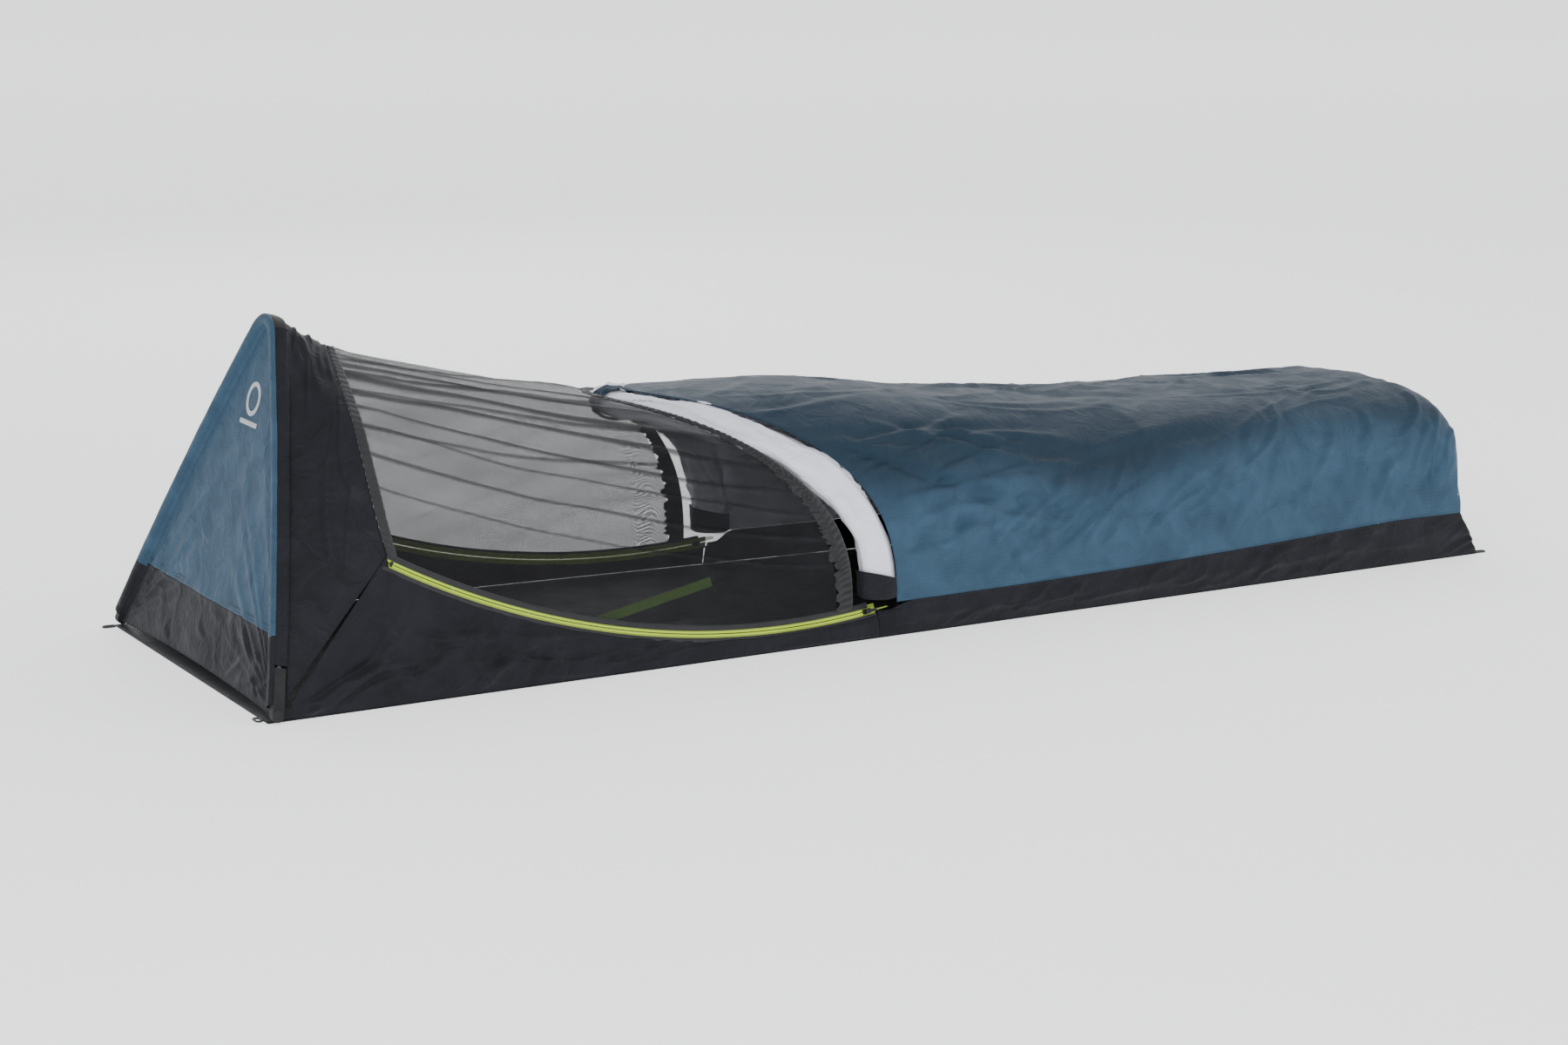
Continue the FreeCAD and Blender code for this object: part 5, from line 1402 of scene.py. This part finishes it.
class BIVY_OT_stitching(bpy.types.Operator):
    """Stitching: rows of thread along the seams of the zips, bands, hood, netting and head panel"""
    bl_idname = "bivy.stitching"
    bl_label = "Stitching"

    def execute(self, context):
        pitch, width = settings().stitch_pitch, settings().stitch_width
        angle = np.linspace(ZIP_BEGIN - TAIL, ZIP_STOP + TAIL, 240)
        out = np.broadcast_to(WALL_OUT, (240, 3))
        sack = [(on_arc(radius, angle, 0.0002), out) for radius in (ZIP_RADIUS + 0.0075, ZIP_RADIUS - 0.0065)]
        s = np.linspace(0.03, 1.0, 300)
        line = band_point(s, np.full_like(s, 0.97)) + np.array([0, -0.0004, 0])
        sack.append((line, np.broadcast_to(unit(np.array([0.0, -1.0, 0.25])), line.shape)))
        parts = []
        for path, normal in sack:
            parts.append(stitch_line(path, normal, pitch, width))
            points, faces = stitch_line(path * MIRROR, normal * MIRROR, pitch, width)
            parts.append((points, faces))
        piece = mesh_piece("seam_thread", *joined(parts), [finish("dark thread")])
        replaced(piece, "sack", "binding_tape")
        end = POLE_HALF - SLEEVE_START
        place = hoop_line(np.linspace(-end, end, 500), SLEEVE_DEPTH / 2 + 0.004)[0]
        line = from_hoop(place[:, 0], place[:, 1], -FABRIC / 2 - 0.0004)
        rows = [stitch_line(line, np.broadcast_to(-HOOP_OUT, line.shape), pitch, width)]
        x = np.linspace(-1, 1, 260) * panel_half(SEAM_HEIGHT + 0.004) * 0.985
        for v in (SEAM_HEIGHT + 0.0035, SEAM_HEIGHT + 0.009):
            line = from_hoop(x, v, -FABRIC / 2 - 0.0016)
            rows.append(stitch_line(line, np.broadcast_to(-HOOP_OUT, line.shape), pitch, width))
        for side in (-1, 1):
            rows += self.box_tacks(side, pitch, width)
        piece = mesh_piece("hoop_thread", *joined(rows), [finish("dark thread")])
        replaced(piece, "hoop", "binding_tape")
        return {"FINISHED"}

    def box_tacks(self, side, pitch, width):
        """Bar tacks across each pole pocket."""
        rows = []
        for back in (0.012, 0.056):
            place, outward = hoop_line(np.array([side * (POLE_HALF - back)]))
            x, y = place[0] + outward[0] * 0.0067
            across = np.linspace(-0.0075, 0.0075, 30)
            line = from_hoop(np.full(30, x), np.full(30, y), across)
            normal = outward[0, 0] * np.array([0.0, 1.0, 0.0]) + outward[0, 1] * HOOP_UP
            rows.append(stitch_line(line, np.broadcast_to(normal, line.shape), pitch * 0.6, width))
        return rows


class BIVY_OT_stage(bpy.types.Operator):
    """Stage: a pale floor that curves up behind, soft lights and the camera"""
    bl_idname = "bivy.stage"
    bl_label = "Stage"

    def execute(self, context):
        t = np.linspace(0, 1, 60)
        bend = np.clip((t - 0.45) / 0.25, 0, 1) * math.pi / 2
        run = -9 + 20 * np.minimum(t, 0.45) / 0.45 + 4.0 * np.sin(bend)
        rise = 4.0 * (1 - np.cos(bend)) + 16 * np.clip((t - 0.70) / 0.30, 0, 1)
        aside = np.linspace(-18, 18, 40)
        away = np.array([math.sin(math.radians(CAMERA_AROUND)), math.cos(math.radians(CAMERA_AROUND))])
        grid = np.stack([away[0] * run[:, None] + away[1] * aside[None, :],
                         away[1] * run[:, None] - away[0] * aside[None, :],
                         np.broadcast_to(rise[:, None], (60, 40))], -1)
        made, tree, shader = start_material("studio paper")
        where = tree.nodes.new("ShaderNodeTexCoord").outputs["Object"]
        grain = node(tree, "ShaderNodeTexNoise",
                     {"Vector": where, "Scale": 5.0, "Detail": 4.0}).outputs["Fac"]
        tree.links.new(tint(tree, grain, (0.86, 0.86, 0.86), (0.90, 0.90, 0.90)), shader.inputs["Base Color"])
        shader.inputs["Roughness"].default_value = 0.9
        shader.inputs["Specular IOR Level"].default_value = 0.1
        shader.inputs["Emission Color"].default_value = (1.0, 1.0, 1.0, 1.0)
        shader.inputs["Emission Strength"].default_value = 0.85
        grid_piece("studio_floor", grid, [made], True)
        world = bpy.data.worlds.new("studio")
        context.scene.world = world
        world.use_nodes = True
        sky = world.node_tree.nodes["Background"]
        sky.inputs[0].default_value = (0.92, 0.95, 1.0, 1.0)
        sky.inputs[1].default_value = 0.75
        power = settings().light_power
        self.lamp("front light", (-2.4, -3.4, 1.9), (0.1, 0, 0.15), 2.6, power)
        self.lamp("foot light", (3.2, -1.6, 1.6), (0.6, 0, 0.2), 1.8, power * 0.35)
        self.lamp("back light", (0.5, 3.6, 2.6), (0, 0, 0.2), 3.0, power * 0.45)
        self.camera(context)
        return {"FINISHED"}

    def lamp(self, name, place, target, size, power):
        data = bpy.data.lights.new(name, "AREA")
        data.shape = "SQUARE"
        data.size = size
        data.energy = power
        lamp = bpy.data.objects.new(name, data)
        bpy.context.scene.collection.objects.link(lamp)
        lamp.location = place
        self.aim(lamp, np.array(place) - np.array(target))

    def aim(self, thing, back):
        """Turns a lamp or camera so that it looks against back."""
        back = unit(back.astype(float))
        right = unit(np.cross(UP, back))
        up = np.cross(back, right)
        thing.rotation_euler = Matrix([[right[k], up[k], back[k]] for k in range(3)]).to_euler()

    def camera(self, context):
        data = bpy.data.cameras.new("camera")
        data.sensor_width = 36.0
        data.lens = settings().lens
        data.clip_end = 100.0
        camera = bpy.data.objects.new("camera", data)
        context.scene.collection.objects.link(camera)
        around, above = math.radians(-CAMERA_AROUND), math.radians(CAMERA_ABOVE)
        camera.location = CAMERA_PLACE
        self.aim(camera, np.array([math.sin(around) * math.cos(above), -math.cos(around) * math.cos(above),
                                   math.sin(above)]))
        context.scene.camera = camera


OPERATORS = (BIVY_OT_stage, BIVY_OT_floor, BIVY_OT_walls, BIVY_OT_bands, BIVY_OT_shell, BIVY_OT_flap,
             BIVY_OT_sleeve, BIVY_OT_hood, BIVY_OT_netting, BIVY_OT_head, BIVY_OT_zips, BIVY_OT_hardware,
             BIVY_OT_stitching)


class BIVY_PT_pieces(bpy.types.Panel):
    """Sizes, colours and pieces of the bivy sack"""
    bl_idname = "BIVY_PT_pieces"
    bl_label = "Bivy sack"
    bl_space_type = "VIEW_3D"
    bl_region_type = "UI"
    bl_category = "Bivy"

    def draw(self, context):
        for name in BivySettings.__annotations__:
            self.layout.prop(context.scene.bivy_settings, name)
        for operator in OPERATORS:
            self.layout.operator(operator.bl_idname)


CLASSES = (BivySettings, *OPERATORS, BIVY_PT_pieces)


def register():
    for made in CLASSES:
        bpy.utils.register_class(made)
    bpy.types.Scene.bivy_settings = bpy.props.PointerProperty(type=BivySettings)


def unregister():
    del bpy.types.Scene.bivy_settings
    for made in reversed(CLASSES):
        bpy.utils.unregister_class(made)


def main():
    register()
    for operator in OPERATORS:
        getattr(bpy.ops.bivy, operator.bl_idname.split(".")[1])()


if __name__ == "__main__":
    main()
